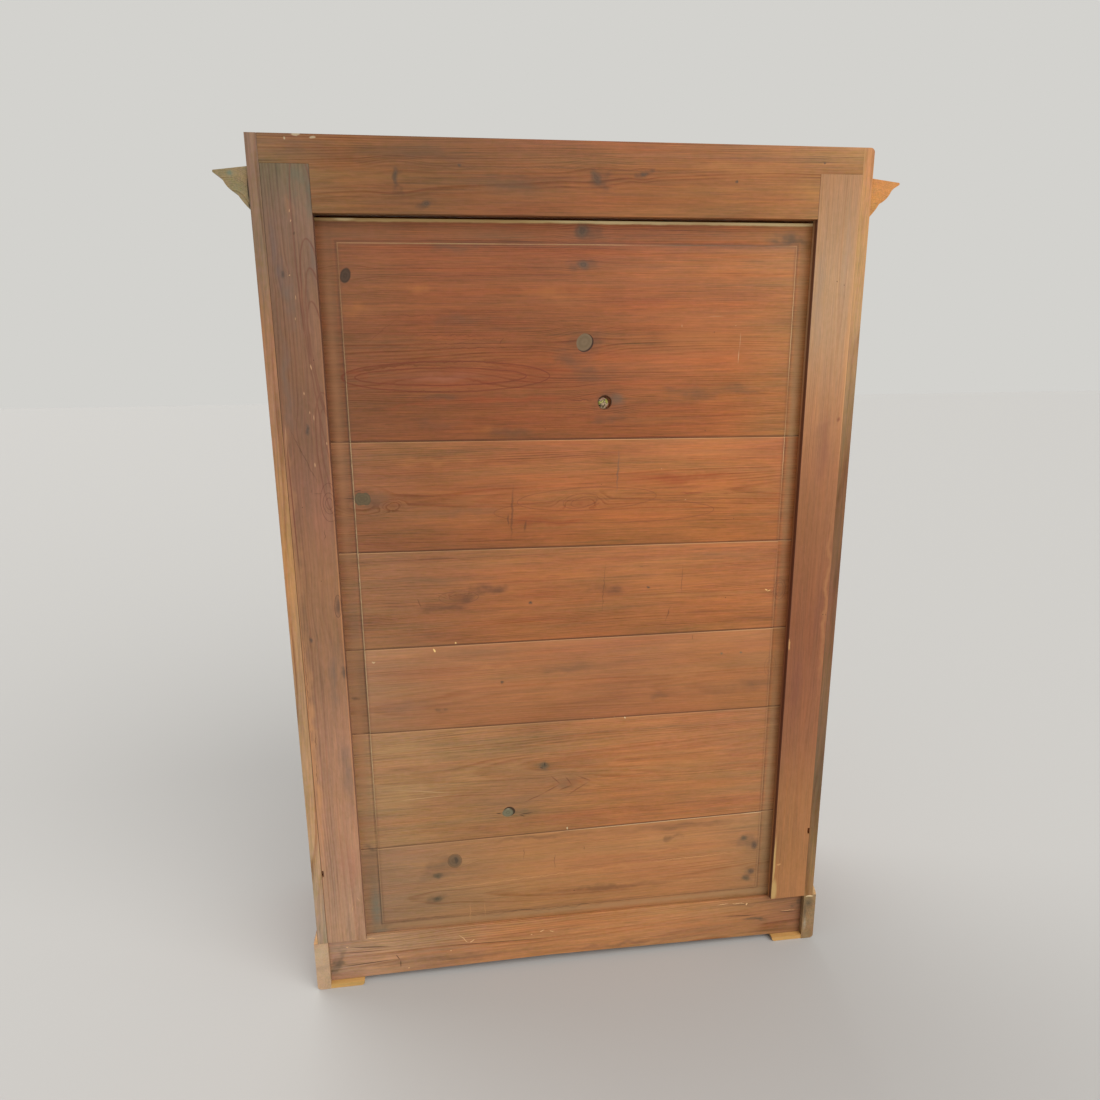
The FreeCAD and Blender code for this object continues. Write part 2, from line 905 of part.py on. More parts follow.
def hinge_leaf(z0, owner, x0, x1):
    leaf = block(x0, x1, front_y, front_y + hinge_leaf_width, z0, z0 + hinge_height)
    for low, high in knuckles_of(z0)[owner]:
        strap = block(x0, x1, hinge_y, front_y, low, high)
        barrel = Part.makeCylinder(knuckle_radius, high - low, Vec(hinge_x, hinge_y, low))
        leaf = leaf.fuse(strap).fuse(barrel)
    bore = Part.makeCylinder(
        pin_radius + pin_clearance,
        hinge_height + 2 * overrun,
        Vec(hinge_x, hinge_y, z0 - overrun),
    )
    return leaf.cut(bore).removeSplitter()


def frame_leaves():
    return [hinge_leaf(z0, "frame", opening_half, opening_half + hinge_leaf_thickness) for z0 in hinge_starts()]


def door_leaves():
    return [hinge_leaf(z0, "door", door_hinge_x - hinge_leaf_thickness, door_hinge_x) for z0 in hinge_starts()]


def hinge_pins():
    # Pins with a small ball at each end, resting on the frame's knuckles.
    pins = []
    rise = math.sqrt(finial_radius**2 - (pin_radius + pin_clearance) ** 2)
    for z0 in hinge_starts():
        pin = Part.makeCylinder(pin_radius, hinge_height + 2 * rise, Vec(hinge_x, hinge_y, z0 - rise))
        for z in (z0 - rise, z0 + hinge_height + rise):
            pin = pin.fuse(Part.makeSphere(finial_radius, Vec(hinge_x, hinge_y, z)))
        pins.append(pin.removeSplitter())
    return pins


def lock_envelope():
    # The lock's outer shape: a case let into the stile's back and a plate in its edge.
    case = block(
        door_meet_x,
        door_meet_x + lock_plate_thickness + lock_case_width,
        lock_face_y,
        door_back_y,
        bolt_z - lock_case_height / 2 - key_below_bolt,
        bolt_z + lock_case_height / 2 - key_below_bolt,
    )
    plate_y0 = bolt_y0 + bolt_thickness / 2 - lock_plate_width / 2
    plate = block(
        door_meet_x,
        door_meet_x + lock_plate_thickness,
        plate_y0,
        plate_y0 + lock_plate_width,
        bolt_z - lock_plate_height / 2 - key_below_bolt,
        bolt_z + lock_plate_height / 2 - key_below_bolt,
    )
    return case.fuse(plate).removeSplitter()


def keyhole(y0, y1):
    # A round hole for the key's shaft over a slot for its bit.
    radius = key_shaft_radius + key_hole_play
    hole = Part.makeCylinder(radius, y1 - y0, Vec(key_x, y0, key_z), Vec(0, 1, 0))
    half = key_bit_thickness / 2 + key_hole_play
    slot = block(key_x - half, key_x + half, y0, y1, key_z - key_bit_reach - key_hole_play, key_z)
    return hole.fuse(slot)


def lock_case():
    envelope = lock_envelope()
    cavity = block(
        door_meet_x + lock_plate_thickness,
        door_meet_x + lock_plate_thickness + lock_case_width - lock_wall,
        lock_face_y + lock_wall,
        door_back_y - lock_wall,
        bolt_z - lock_case_height / 2 - key_below_bolt + lock_wall,
        bolt_z + lock_case_height / 2 - key_below_bolt - lock_wall,
    )
    mouth = block(
        door_meet_x - overrun,
        door_meet_x + lock_plate_thickness + overrun,
        bolt_y0 - bolt_play,
        bolt_y0 + bolt_thickness + bolt_play,
        bolt_z - bolt_height / 2 - bolt_play,
        bolt_z + bolt_height / 2 + bolt_play,
    )
    return envelope.cut(cavity).cut(mouth).cut(keyhole(lock_face_y - overrun, lock_face_y + lock_wall + overrun))


def lock_bolt():
    x0 = door_meet_x + bolt_play
    bolt = block(
        x0,
        x0 + bolt_length,
        bolt_y0,
        bolt_y0 + bolt_thickness,
        bolt_z - bolt_height / 2,
        bolt_z + bolt_height / 2,
    )
    nose = edges_where(bolt, lambda e: lies_at(e, "z", x=x0))
    return bolt.makeChamfer(bolt_play, nose)


def key():
    # A shaft with a bit inside the lock, a collar at the plate and a ring bow in front.
    collar_y = front_y - plate_thickness - key_collar_length - key_hole_play
    y0 = front_y - key_shaft_out
    y1 = bolt_y0 + bolt_thickness
    shaft = Part.makeCylinder(key_shaft_radius, y1 - y0, Vec(key_x, y0, key_z), Vec(0, 1, 0))
    collar = Part.makeCylinder(key_collar_radius, key_collar_length, Vec(key_x, collar_y, key_z), Vec(0, 1, 0))
    half = key_bit_thickness / 2
    bit = block(key_x - half, key_x + half, bolt_y0, y1, key_z - key_bit_reach, key_z)
    bow_y = y0 - key_bow_radius
    bow = Part.makeTorus(key_bow_radius, key_bow_wire, Vec(key_x, bow_y, key_z), Vec(1, 0, 0))
    return shaft.fuse(collar).fuse(bit).fuse(bow).removeSplitter()


def keyhole_plate():
    # A pointed oval plate made of two arcs, with its front edge chamfered.
    y = front_y
    top = Vec(key_x, y, key_z + plate_half_height)
    bottom = Vec(key_x, y, key_z - plate_half_height)
    right = Vec(key_x + plate_half_width, y, key_z)
    left = Vec(key_x - plate_half_width, y, key_z)
    wire = Part.Wire([Part.Arc(top, right, bottom).toShape(), Part.Arc(bottom, left, top).toShape()])
    plate = Part.Face(wire).extrude(Vec(0, -plate_thickness, 0))
    return plate.cut(keyhole(front_y - plate_thickness - overrun, front_y + overrun))


def slide_rod(end_z, away):
    # A rod whose working end is at end_z; away is +1 where the rod rises from that end.
    z0 = end_z if away > 0 else end_z - slide_rod_length
    rod = Part.makeCylinder(slide_rod_radius, slide_rod_length, Vec(slide_x, slide_y, z0))
    knob_z = end_z + away * slide_rod_length / 2
    neck = Part.makeCylinder(slide_knob_neck_radius, slide_knob_reach, Vec(slide_x, slide_y, knob_z), Vec(0, 1, 0))
    ball = Part.makeSphere(slide_knob_radius, Vec(slide_x, slide_y + slide_knob_reach, knob_z))
    return rod.fuse(neck).fuse(ball).removeSplitter()


def slide_ends():
    # Heights of the working ends of the upper and lower slide bolts when drawn back.
    return door_top - slide_end_gap, bottom_board_top + slide_end_gap


def slide_plate(end_z, away):
    # A back plate with two bored guides, in the middle of the rod's length.
    middle = end_z + away * slide_rod_length / 2
    low = middle - slide_plate_length / 2
    high = middle + slide_plate_length / 2
    plate = block(
        slide_x - slide_plate_width / 2,
        slide_x + slide_plate_width / 2,
        door_back_y,
        door_back_y + slide_plate_thickness,
        low,
        high,
    )
    for z0 in (low, high - slide_guide_height):
        guide = block(
            slide_x - slide_guide_width / 2,
            slide_x + slide_guide_width / 2,
            door_back_y,
            slide_y + slide_rod_radius + slide_plate_thickness,
            z0,
            z0 + slide_guide_height,
        )
        crown = edges_where(guide, lambda e: lies_at(e, "z", y=slide_y + slide_rod_radius + slide_plate_thickness))
        plate = plate.fuse(guide.makeChamfer(slide_plate_thickness, crown))
    return plate.cut(slide_hole(low - overrun, high + overrun)).removeSplitter()


def carcass_nodes():
    planks = back_planks()
    front_plinth, side_plinth = plinth_pieces()
    front_cornice, side_cornice = cornice_pieces()
    stile = back_stile()
    front = front_stile()
    pad = rear_pad()
    nodes = {
        "back_stile_right": [stile],
        "back_stile_left": [mirrored(stile)],
        "back_top_rail": [back_top_rail()],
        "side_board_right": [side_board(False)],
        "side_board_left": [mirrored(side_board(True))],
        "top_board": [top_board()],
        "bottom_board": [bottom_board()],
        "shelf_cleats": shelf_cleats(),
        "front_stile_right": [front],
        "front_stile_left": [mirrored(front)],
        "lintel": [lintel()],
        "sill": [sill()],
        "cornice_front": [front_cornice],
        "cornice_right": [side_cornice],
        "cornice_left": [mirrored(side_cornice)],
        "plinth_front": [front_plinth],
        "plinth_right": [side_plinth],
        "plinth_left": [mirrored(side_plinth)],
        "plinth_rear_rail": [rear_rail()],
        "plinth_moulding": plinth_moulding(),
        "rear_pad_right": [pad],
        "rear_pad_left": [mirrored(pad)],
    }
    for number, plank in enumerate(planks, start=1):
        nodes[f"back_plank_{number}"] = [plank]
    for number, top in enumerate(shelf_heights(), start=1):
        nodes[f"shelf_{number}"] = [shelf(top)]
    return nodes


def door_nodes():
    pieces = {
        "hinge_stile": [hinge_stile()],
        "panel": [door_panel()],
        "glazing_bars": glazing_bars(),
        "glass": glass_panes(),
        "glazing_beads": glazing_beads(),
        "hinge_leaves": door_leaves(),
    }
    for name in rail_spans():
        pieces[name] = [door_rail(name)]
    nodes = {}
    for name, solids in pieces.items():
        nodes["right_door_" + name] = solids
        nodes["left_door_" + name] = [mirrored(solid) for solid in solids]
    nodes["right_door_meeting_stile"] = [active_meeting_stile()]
    nodes["left_door_meeting_stile"] = [passive_meeting_stile()]
    return nodes


def hardware_nodes():
    leaves = frame_leaves()
    pins = hinge_pins()
    upper_end, lower_end = slide_ends()
    return {
        "frame_hinge_leaves": leaves + [mirrored(leaf) for leaf in leaves],
        "hinge_pins": pins + [mirrored(pin) for pin in pins],
        "lock_case": [lock_case()],
        "lock_bolt": [lock_bolt()],
        "key": [key()],
        "keyhole_plate": [keyhole_plate()],
        "upper_slide_bolt": [slide_rod(upper_end, -1)],
        "lower_slide_bolt": [slide_rod(lower_end, 1)],
        "slide_bolt_plates": [slide_plate(upper_end, -1), slide_plate(lower_end, 1)],
    }


def main():
    nodes = {}
    nodes.update(carcass_nodes())
    nodes.update(door_nodes())
    nodes.update(hardware_nodes())
    for name, solids in nodes.items():
        shape = solids[0] if len(solids) == 1 else Part.makeCompound(solids)
        if not shape.isValid():
            raise ValueError(name + " is not a valid solid")
        shape.exportStep("parts/" + name + ".step")
    print(len(nodes), "nodes")
    print("front face y", front_y, "rear face y", rear_y)
    print("hinge axis", hinge_x, hinge_y, "key axis", key_x, key_z, "bolt z", bolt_z)


main()
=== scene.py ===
import json
import math
from functools import partial

import bmesh
import bpy
from mathutils import Matrix, Vector, noise

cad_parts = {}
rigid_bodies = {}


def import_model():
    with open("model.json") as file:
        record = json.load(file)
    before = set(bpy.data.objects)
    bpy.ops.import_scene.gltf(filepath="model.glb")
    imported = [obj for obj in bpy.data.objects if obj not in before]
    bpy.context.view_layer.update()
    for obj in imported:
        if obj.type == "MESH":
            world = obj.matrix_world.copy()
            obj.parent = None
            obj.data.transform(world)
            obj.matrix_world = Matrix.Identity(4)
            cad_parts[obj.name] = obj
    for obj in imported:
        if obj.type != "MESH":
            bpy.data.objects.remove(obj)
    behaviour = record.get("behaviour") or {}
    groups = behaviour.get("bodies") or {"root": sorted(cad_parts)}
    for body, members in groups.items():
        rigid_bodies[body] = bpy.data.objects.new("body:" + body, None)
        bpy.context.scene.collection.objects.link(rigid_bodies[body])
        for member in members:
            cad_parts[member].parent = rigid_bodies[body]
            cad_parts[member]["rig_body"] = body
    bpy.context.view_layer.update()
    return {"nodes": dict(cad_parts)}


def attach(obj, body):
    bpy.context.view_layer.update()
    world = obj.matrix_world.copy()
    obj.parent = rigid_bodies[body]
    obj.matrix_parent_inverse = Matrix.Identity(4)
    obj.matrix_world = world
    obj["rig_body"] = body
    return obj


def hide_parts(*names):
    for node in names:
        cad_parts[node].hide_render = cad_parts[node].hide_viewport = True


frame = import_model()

# An old pine display cabinet, seen from its framed and panelled back.
# Numbers for lengths are millimetres unless a note says otherwise; mm turns them to metres.
mm = 0.001
print("frame loaded:", len(frame["nodes"]), "nodes")


def linear(hexColour):
    # sRGB hex to the linear colour that a shader socket takes.
    parts = [int(hexColour[i:i + 2], 16) / 255 for i in (0, 2, 4)]
    return tuple(c / 12.92 if c <= 0.04045 else ((c + 0.055) / 1.055) ** 2.4 for c in parts) + (1.0,)


def addNode(tree, kind, inputs=(), out=0, **settings):
    # Adds a node, applies its settings, fills or links its inputs and returns one output. Its
    # operation may follow its kind, after a blank.
    kind, _, operation = kind.partition(" ")
    node = tree.nodes.new("ShaderNode" + kind)
    if operation:
        node.operation = operation
    for name, value in settings.items():
        setattr(node, name, value)
    for key, value in inputs.items() if isinstance(inputs, dict) else enumerate(inputs):
        if isinstance(value, bpy.types.NodeSocket):
            tree.links.new(value, node.inputs[key])
        else:
            node.inputs[key].default_value = value
    return node.outputs[out] if len(node.outputs) else None


def newMaterial(name):
    # An empty material, and the function that adds nodes to it.
    material = bpy.data.materials.new(name)
    material.use_nodes = True
    material.node_tree.nodes.clear()
    return material, partial(addNode, material.node_tree)


def placed(work, name, meshName=None):
    # Makes a finished bmesh an object of the scene.
    mesh = bpy.data.meshes.new(meshName or name)
    work.to_mesh(mesh)
    work.free()
    piece = bpy.data.objects.new(name, mesh)
    bpy.context.scene.collection.objects.link(piece)
    return piece


# Settings that many nodes share: a soft step between two values, and a mix of two colours.
smooth = {"interpolation_type": "SMOOTHSTEP"}
blend = {"out": 2, "data_type": "RGBA"}

# How a board lies: the turn from the object's axes to along, across and through the grain,
# the way that the grain runs, the way that it parts round a knot, and the plane of its face.
layouts = {
    "xUpright": {"turn": (-90, 0, 0), "run": (1, 0, 0), "part": (0, 0, 1), "plane": "XZ"},
    "xFlat": {"turn": (0, 0, 0), "run": (1, 0, 0), "part": (0, 1, 0), "plane": "XY"},
    "zFacing": {"turn": (90, 0, 90), "run": (0, 0, 1), "part": (1, 0, 0), "plane": "XZ"},
    "zSideways": {"turn": (0, 90, 0), "run": (0, 0, 1), "part": (0, 1, 0), "plane": "YZ"},
    "ySideways": {"turn": (-90, -90, 0), "run": (0, 1, 0), "part": (0, 0, 1), "plane": "YZ"},
}

# Old pine, sawn flat and hand planed: soft pale early wood between hard late wood, stained
# and rubbed over many years. The eye sees a dull satin, red-brown late wood and soft streaks.
# A pull is what a pattern adds to the red, green and blue of the board's own colour.
pineLook = {
    "grain": "xUpright",
    "shift": 0.0,             # how far the pattern is slid along the grain
    "pith": (0.0, 0.0),       # where the tree's middle lies, across and through the board
    "lean": 1.0,              # degrees between the board's face and the pith
    "slew": 0.3,              # degrees that the grain runs off the board's length
    "ringWidth": 3.2,         # one year's growth
    "ringWaves": ((560, 66, 22.0), (320, 18, 2.2)),   # length, width and depth
    "hardens": (0.20, 0.80),  # the part of a year in which its wood turns hard
    "softens": (0.82, 1.0),   # and the part in which it turns soft again
    "years": (1.1, 0.2),      # how much one year differs from another, and the palest year
    "ringFade": (0.36, 0.62, 1.35, 0.45),             # band values and the rings' strength there
    "latePull": (-0.19, -0.27, -0.30),
    "contrast": 1.0,          # how strongly all the patterns pull
    "reachAlong": 1.7,        # how much further along the grain a knot parts it than across
    "knotRings": (11.0, 9.0, 0.4, 0.5),               # how many, how wavy, how strong, how full
    "gaps": (6.0, 0.58),      # how sharply streaks break marks up, and the streak that does
    "fibreHeight": 0.9,       # the height of the fibres against that of the lines
    "patterns": {             # length, width, detail and pull, at real sizes
        "fibre": (60, 2.0, 2.0, (0.80, 0.64, 0.48)),
        "line": (300, 4.4, 2.0, (0.56, 0.40, 0.20)),
        "streak": (520, 13, 2.0, (0.24, 0.15, 0.06)),
        "band": (460, 48, 3.0, (0.30, 0.24, 0.16)),
        "stain": (340, 34, 3.0, (0.18, -0.32, -0.28)),
        "smoke": (180, 48, 4.0, (0.50, 0.44, 0.38)),
        "mottle": (13, 5.5, 3.0, (0.30, 0.14, 0.66)),
    },
    "blotch": (110, (0.16, 0.14, 0.32)),              # size and pull
    "tone": (0.985, 0.93, 0.80),
    "stops": ((-1000, "9a6440"), (1000, "9a6440")),   # places along the grain and colours there
    "marks": (),
    "depth": (0, 1e6),        # the face that the marks are on, and how deep they go
    "field": None,
    # Beetle holes and pale nicks: spacing, length and width of each, colour, strength and height.
    "specks": ((150, 1.1, 1.1, "2a1a12", 0.85, -3.0), (170, 4.5, 1.1, "d8b184", 0.6, -0.6)),
    "roughness": (0.48, 0.66),
    "relief": 0.30,           # height of the grain's lines over the soft wood between them
}
# How far the outlines of marks stray: size of the waves, and how far across and along.
outlines = {"edge": (30, 3.5, 3.5), "rough": (14, 9, 9), "loose": (48, 34, 130)}
# Pine with the redness and fine lines worn down, as on the back's uprights.
softPatterns = {
    "fibre": (70, 2.2, 2.0, (0.58, 0.44, 0.32)),
    "line": (280, 6.0, 2.0, (0.30, 0.20, 0.10)),
    "streak": (560, 16, 2.0, (0.24, 0.13, 0.04)),
    "band": (420, 44, 3.0, (0.34, 0.20, 0.08)),
    "smoke": (150, 34, 4.0, (0.38, 0.26, 0.18)),
    "mottle": (14, 6.5, 3.0, (0.34, 0.24, 0.46)),
}


def nearest(add, here, plane, spots, outline=False, depth=(0, 1e6)):
    # Distance from the middle of the nearest of several ellipses, which is 1 on an ellipse's
    # edge, or how far away the nearest outline is. depth is where the face lies that the
    # ellipses are on and how deep they go from there.
    found = None
    through = 1 if plane == "XZ" else 0  # the axis that the face looks along
    for first, second, halfLong, halfWide, turn in spots:
        at = [first * mm, second * mm]
        size = [halfLong * mm, halfWide * mm]
        at.insert(through, depth[0] * mm)
        size.insert(through, depth[1] * mm)
        angle = [0, 0, 0]
        angle[through] = math.radians(-turn if plane == "XZ" else turn)
        local = add("Mapping", (here, at, angle, size), vector_type="TEXTURE")
        away = add("VectorMath LENGTH", (local,), out="Value")
        if outline:
            steep = add("VectorMath DIVIDE", (local, size))
            steep = add("VectorMath LENGTH", (steep,), out="Value")
            over = add("Math SUBTRACT", (away, 1.0))
            over = add("Math MULTIPLY", (over, away))
            away = add("Math DIVIDE", (over, steep))
            away = add("Math ABSOLUTE", (away,))
        found = away if found is None else add("Math MINIMUM", (found, away))
    return found


def stretched(add, place, length, width, detail, roughness=0.5):
    # Noise drawn out along the grain.
    scale = (1 / (length * mm), 1 / (width * mm), 1 / (width * mm))
    wave = add("Mapping", (place, (0, 0, 0), (0, 0, 0), scale))
    return add("TexNoise", {"Vector": wave, "Scale": 1.0, "Detail": detail, "Roughness": roughness})


def pine(name, **board):
    look = {**pineLook, **board}
    layout = layouts[look["grain"]]
    plane = layout["plane"]
    material, add = newMaterial(name)
    here = add("TexCoord", out="Object")

    # Where a mark's outline is measured from: true, a little uneven or very uneven.
    places = {"sharp": here}
    for kind, (size, across, along) in outlines.items():
        wave = add("TexNoise", {"Vector": here, "Scale": 1 / (size * mm), "Detail": 3.0}, out=1)
        stray = [(across + (along - across) * way) * mm for way in layout["run"]]
        moved = add("VectorMath MULTIPLY_ADD", (wave, stray, here))
        places[kind] = add("VectorMath SUBTRACT", (moved, [s / 2 for s in stray]))

    # The grain parts round each knot: near one, the rings are read from closer to its middle.
    flowed = here
    distances = []
    for mark in look["marks"]:
        place = places[mark.get("outline", "rough")]
        facing = mark.get("plane", plane)
        distances.append(nearest(add, place, facing, mark["spots"], "line" in mark, look["depth"]))
        for spot in mark["spots"] if mark.get("flow") else ():
            middle = [spot[plane.index(axis)] * mm if axis in plane else 0 for axis in "XYZ"]
            lead = add("VectorMath SUBTRACT", (here, middle))
            lead = add("VectorMath MULTIPLY", (lead, layout["part"]))
            size = max(spot[2], spot[3]) * mark["reach"]
            runs = [layout["run"]["XYZ".index(axis)] for axis in plane]
            far = [size * (look["reachAlong"] if run else 1.0) for run in runs]
            near = nearest(add, here, plane, [(spot[0], spot[1], *far, 0)])
            push = add("MapRange", (near, 0.1, 1.0, -mark["flow"], 0.0), **smooth)
            moved = add("VectorMath SCALE", {0: lead, "Scale": push})
            flowed = add("VectorMath ADD", (flowed, moved))

    # The board's own axes with the pith as their origin, leaned and slewed, for the rings and
    # for the streaks, which don't part so far.
    start = (look["shift"] * mm, -look["pith"][0] * mm, -look["pith"][1] * mm)
    turn = [math.radians(a) for a in layout["turn"]]
    lean = (0, math.radians(look["lean"]), math.radians(look["slew"]))
    plain = add("Mapping", (here, start, turn, (1, 1, 1)))
    straight = add("Mapping", (plain, (0, 0, 0), lean, (1, 1, 1)))
    parted = add("Mapping", (flowed, start, turn, (1, 1, 1)))
    parted = add("Mapping", (parted, (0, 0, 0), lean, (1, 1, 1)))

    # Distance from the pith gives the year rings.
    flat = add("VectorMath MULTIPLY", (parted, (0, 1, 1)))
    radius = add("VectorMath LENGTH", (flat,), out="Value")
    for length, width, depth in look["ringWaves"]:
        wave = stretched(add, parted, length, width, 1.0)
        radius = add("Math MULTIPLY_ADD", (wave, depth * mm, radius))
    for mark, away in zip(look["marks"], distances):
        if mark.get("bulge"):
            push = add("MapRange", (away, 0.0, mark["reach"], mark["bulge"] * mm, 0.0), **smooth)
            radius = add("Math ADD", (radius, push))
    rings = add("Math MULTIPLY", (radius, 1 / (look["ringWidth"] * mm)))
    phase = add("Math FRACT", (rings,))
    year = add("Math FLOOR", (rings,))
    yearly = add("TexWhiteNoise", {"W": year}, noise_dimensions="1D")
    rise = add("MapRange", (phase, *look["hardens"], 0.0, 1.0), **smooth)
    fall = add("MapRange", (phase, *look["softens"], 1.0, 0.0), **smooth)
    late = add("Math MULTIPLY", (rise, fall))

    # Streaks of every width along the grain, and round blotches.
    made = {}
    for kind, (length, width, detail, pull) in look["patterns"].items():
        made[kind] = stretched(add, straight, length, width, detail, 0.6)
    size, pull = look["blotch"]
    spread = {"Vector": plain, "Scale": 1 / (size * mm), "Detail": 4.0, "Roughness": 0.62}
    blotch = add("TexNoise", spread)

    # Some years are darker, and every ring fades and comes back along the board.
    share = add("Math MULTIPLY_ADD", (yearly, *look["years"]))
    fade = add("MapRange", (made["band"], *look["ringFade"]), **smooth)
    share = add("Math MULTIPLY", (share, fade))
    share = add("Math MULTIPLY", (share, late))

    # Every pattern pulls red, green and blue by its own share round the board's own colour.
    pulls = [(made[kind], look["patterns"][kind][3], 0.5) for kind in made]
    pulls += [(blotch, pull, 0.5), (share, look["latePull"], 0.25)]
    pulls = [(source, [c * look["contrast"] for c in pull], middle) for source, pull, middle in pulls]
    factor = [look["tone"][c] - sum(pull[c] * middle for source, pull, middle in pulls) for c in range(3)]
    for source, pull, middle in pulls:
        pulled = add("VectorMath SCALE", {0: pull, "Scale": source})
        factor = add("VectorMath ADD", (factor, pulled))
    axis = add("SeparateXYZ", (here,), out="XYZ"[layout["run"].index(1)])
    first, last = look["stops"][0][0], look["stops"][-1][0]
    along = add("MapRange", (axis, first * mm, last * mm, 0.0, 1.0))
    colour = add("ValToRGB", (along,))
    stops = colour.node.color_ramp.elements
    stops[0].color = linear(look["stops"][0][1])
    stops[-1].color = linear(look["stops"][-1][1])
    for place, hexColour in look["stops"][1:-1]:
        stops.new((place - first) / (last - first)).color = linear(hexColour)
    colour = add("VectorMath MULTIPLY", (colour, factor))
    height = add("Math MULTIPLY_ADD", (made["fibre"], look["fibreHeight"], made["line"]))

    if look["field"]:
        # Dirt and painted shade beside the raised field's edge, and wear with a painted highlight on
        # it, by the distance from that edge.
        x0, x1, z0, z1 = look["field"]["edges"]
        middle = ((x0 + x1) / 2 * mm, look["depth"][0] * mm, (z0 + z1) / 2 * mm)
        half = ((x1 - x0) / 2 * mm, 0, (z1 - z0) / 2 * mm)
        beside = add("VectorMath SUBTRACT", (here, middle))
        beside = add("VectorMath ABSOLUTE", (beside,))
        beside = add("VectorMath SUBTRACT", (beside, half))
        beside = add("SeparateXYZ", (beside,))
        rim = add("Math MAXIMUM", (beside, beside.node.outputs["Z"]))
        uneven = add("Math MULTIPLY_ADD", (blotch, *look["field"]["uneven"]))
        outer = add("Math LESS_THAN", (beside.node.outputs["Y"], look["depth"][1] * mm))
        uneven = add("Math MULTIPLY", (uneven, outer))
        for low, full, fading, gone, hexColour, strength in look["field"]["bands"]:
            enter = add("MapRange", (rim, low * mm, full * mm, 0.0, strength), **smooth)
            leave = add("MapRange", (rim, fading * mm, gone * mm, 1.0, 0.0), **smooth)
            mask = add("Math MULTIPLY", (enter, leave))
            mask = add("Math MULTIPLY", (mask, uneven), use_clamp=True)
            colour = add("Mix", {0: mask, 6: colour, 7: linear(hexColour)}, **blend)

    for mark, away in zip(look["marks"], distances):
        # A mark with a line is only that line round its edge, this far to either side of it.
        soft = [edge * (mark["line"] * mm if "line" in mark else 1) for edge in mark["soft"]]
        mask = add("MapRange", (away, *soft, mark["strength"], 0.0), **smooth)
        if mark.get("broken"):  # streaks in the grain break the mark up
            gain = look["gaps"][0] * mark["broken"]
            gaps = add("Math MULTIPLY_ADD", (made["streak"], gain, 1 - look["gaps"][1] * gain))
            mask = add("Math MULTIPLY", (mask, gaps), use_clamp=True)
        tint = linear(mark["colour"])
        if mark.get("second"):  # a knot's own rings, in a second colour
            count, waves, strong, full = look["knotRings"]
            swell = add("Math MULTIPLY_ADD", (blotch, waves, 0.0))
            swell = add("Math MULTIPLY_ADD", (away, count, swell))
            swell = add("Math SINE", (swell,))
            swell = add("Math MULTIPLY_ADD", (swell, strong, full))
            tint = add("Mix", {0: swell, 6: tint, 7: linear(mark["second"])}, **blend)
        colour = add("Mix", {0: mask, 6: colour, 7: tint}, **blend)
        if mark.get("lift"):
            height = add("Math MULTIPLY_ADD", (mask, mark["lift"], height))

    for spacing, length, width, hexColour, strength, lift in look["specks"]:
        scale = [(1 + (width / length - 1) * way) / (spacing * mm) for way in layout["run"]]
        scale = [s if axis in plane else 0 for s, axis in zip(scale, "XYZ")]
        flat = add("VectorMath MULTIPLY", (here, scale))
        speck = add("TexVoronoi", {"Vector": flat, "Scale": 1.0}, out="Distance")
        mask = add("MapRange", (speck, 0.6 * width / spacing, width / spacing, strength, 0.0), **smooth)
        colour = add("Mix", {0: mask, 6: colour, 7: linear(hexColour)}, **blend)
        height = add("Math MULTIPLY_ADD", (mask, lift, height))

    shine = add("MapRange", (made["streak"], 0.3, 0.7, *look["roughness"]))
    normal = add("Bump", {"Height": height, "Strength": 0.6, "Distance": look["relief"] * mm})
    surface = {"Base Color": colour, "Roughness": shine, "Normal": normal, "Specular IOR Level": 0.3}
    add("OutputMaterial", {"Surface": add("BsdfPrincipled", surface)})
    return material


# For copies of CAD pieces: how near two corners are one and how many degrees still are flat, the
# length below which a face is an end, and the angle past which shading has an edge.
meshLook = {"weld": 0.02, "flat": 1, "end": 60, "crease": 32}


def weathered(node, materials, shape):
    # A copy of a CAD piece with its arrises taken off, which then stands for it.
    work = bmesh.new()
    work.from_mesh(frame["nodes"][node].data)
    bmesh.ops.remove_doubles(work, verts=work.verts, dist=meshLook["weld"] * mm)
    flat = {"angle_limit": math.radians(meshLook["flat"]), "use_dissolve_boundaries": False}
    bmesh.ops.dissolve_limit(work, **flat, verts=work.verts, edges=work.edges)
    arrises = [
        edge
        for edge in work.edges
        if len(edge.link_faces) == 2
        and edge.calc_face_angle(0) > math.radians(shape["sharpest"])
        and edge.calc_length() > shape["shortest"] * mm
    ]
    bmesh.ops.bevel(
        work, geom=arrises, offset=shape["arris"] * mm, segments=shape["steps"], affect="EDGES",
        profile=0.5, clamp_overlap=True, material=-1,
    )
    runs = [key for key in materials if key != "rear"]
    for face in work.faces:
        # Lengths in one piece get the material of the way that they run, and so do their ends.
        spans = [edge.verts[1].co - edge.verts[0].co for edge in face.edges]
        way = max(spans, key=lambda span: span.length)
        if way.length < meshLook["end"] * mm:
            way = face.normal
        key = max(runs, key=lambda axis: abs(way["xyz".index(axis)]))
        if "rear" in materials and face.calc_center_median().y > shape["rearFrom"] * mm:
            key = "rear"
        face.material_index = list(materials).index(key)
    name = "".join(word.capitalize() for word in node.split("_"))
    piece = placed(work, name[0].lower() + name[1:], node)
    piece.data.shade_smooth()
    piece.data.set_sharp_from_angle(angle=math.radians(meshLook["crease"]))
    for material in materials.values():
        piece.data.materials.append(material)
    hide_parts(node)
    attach(piece, frame["nodes"][node]["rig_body"])


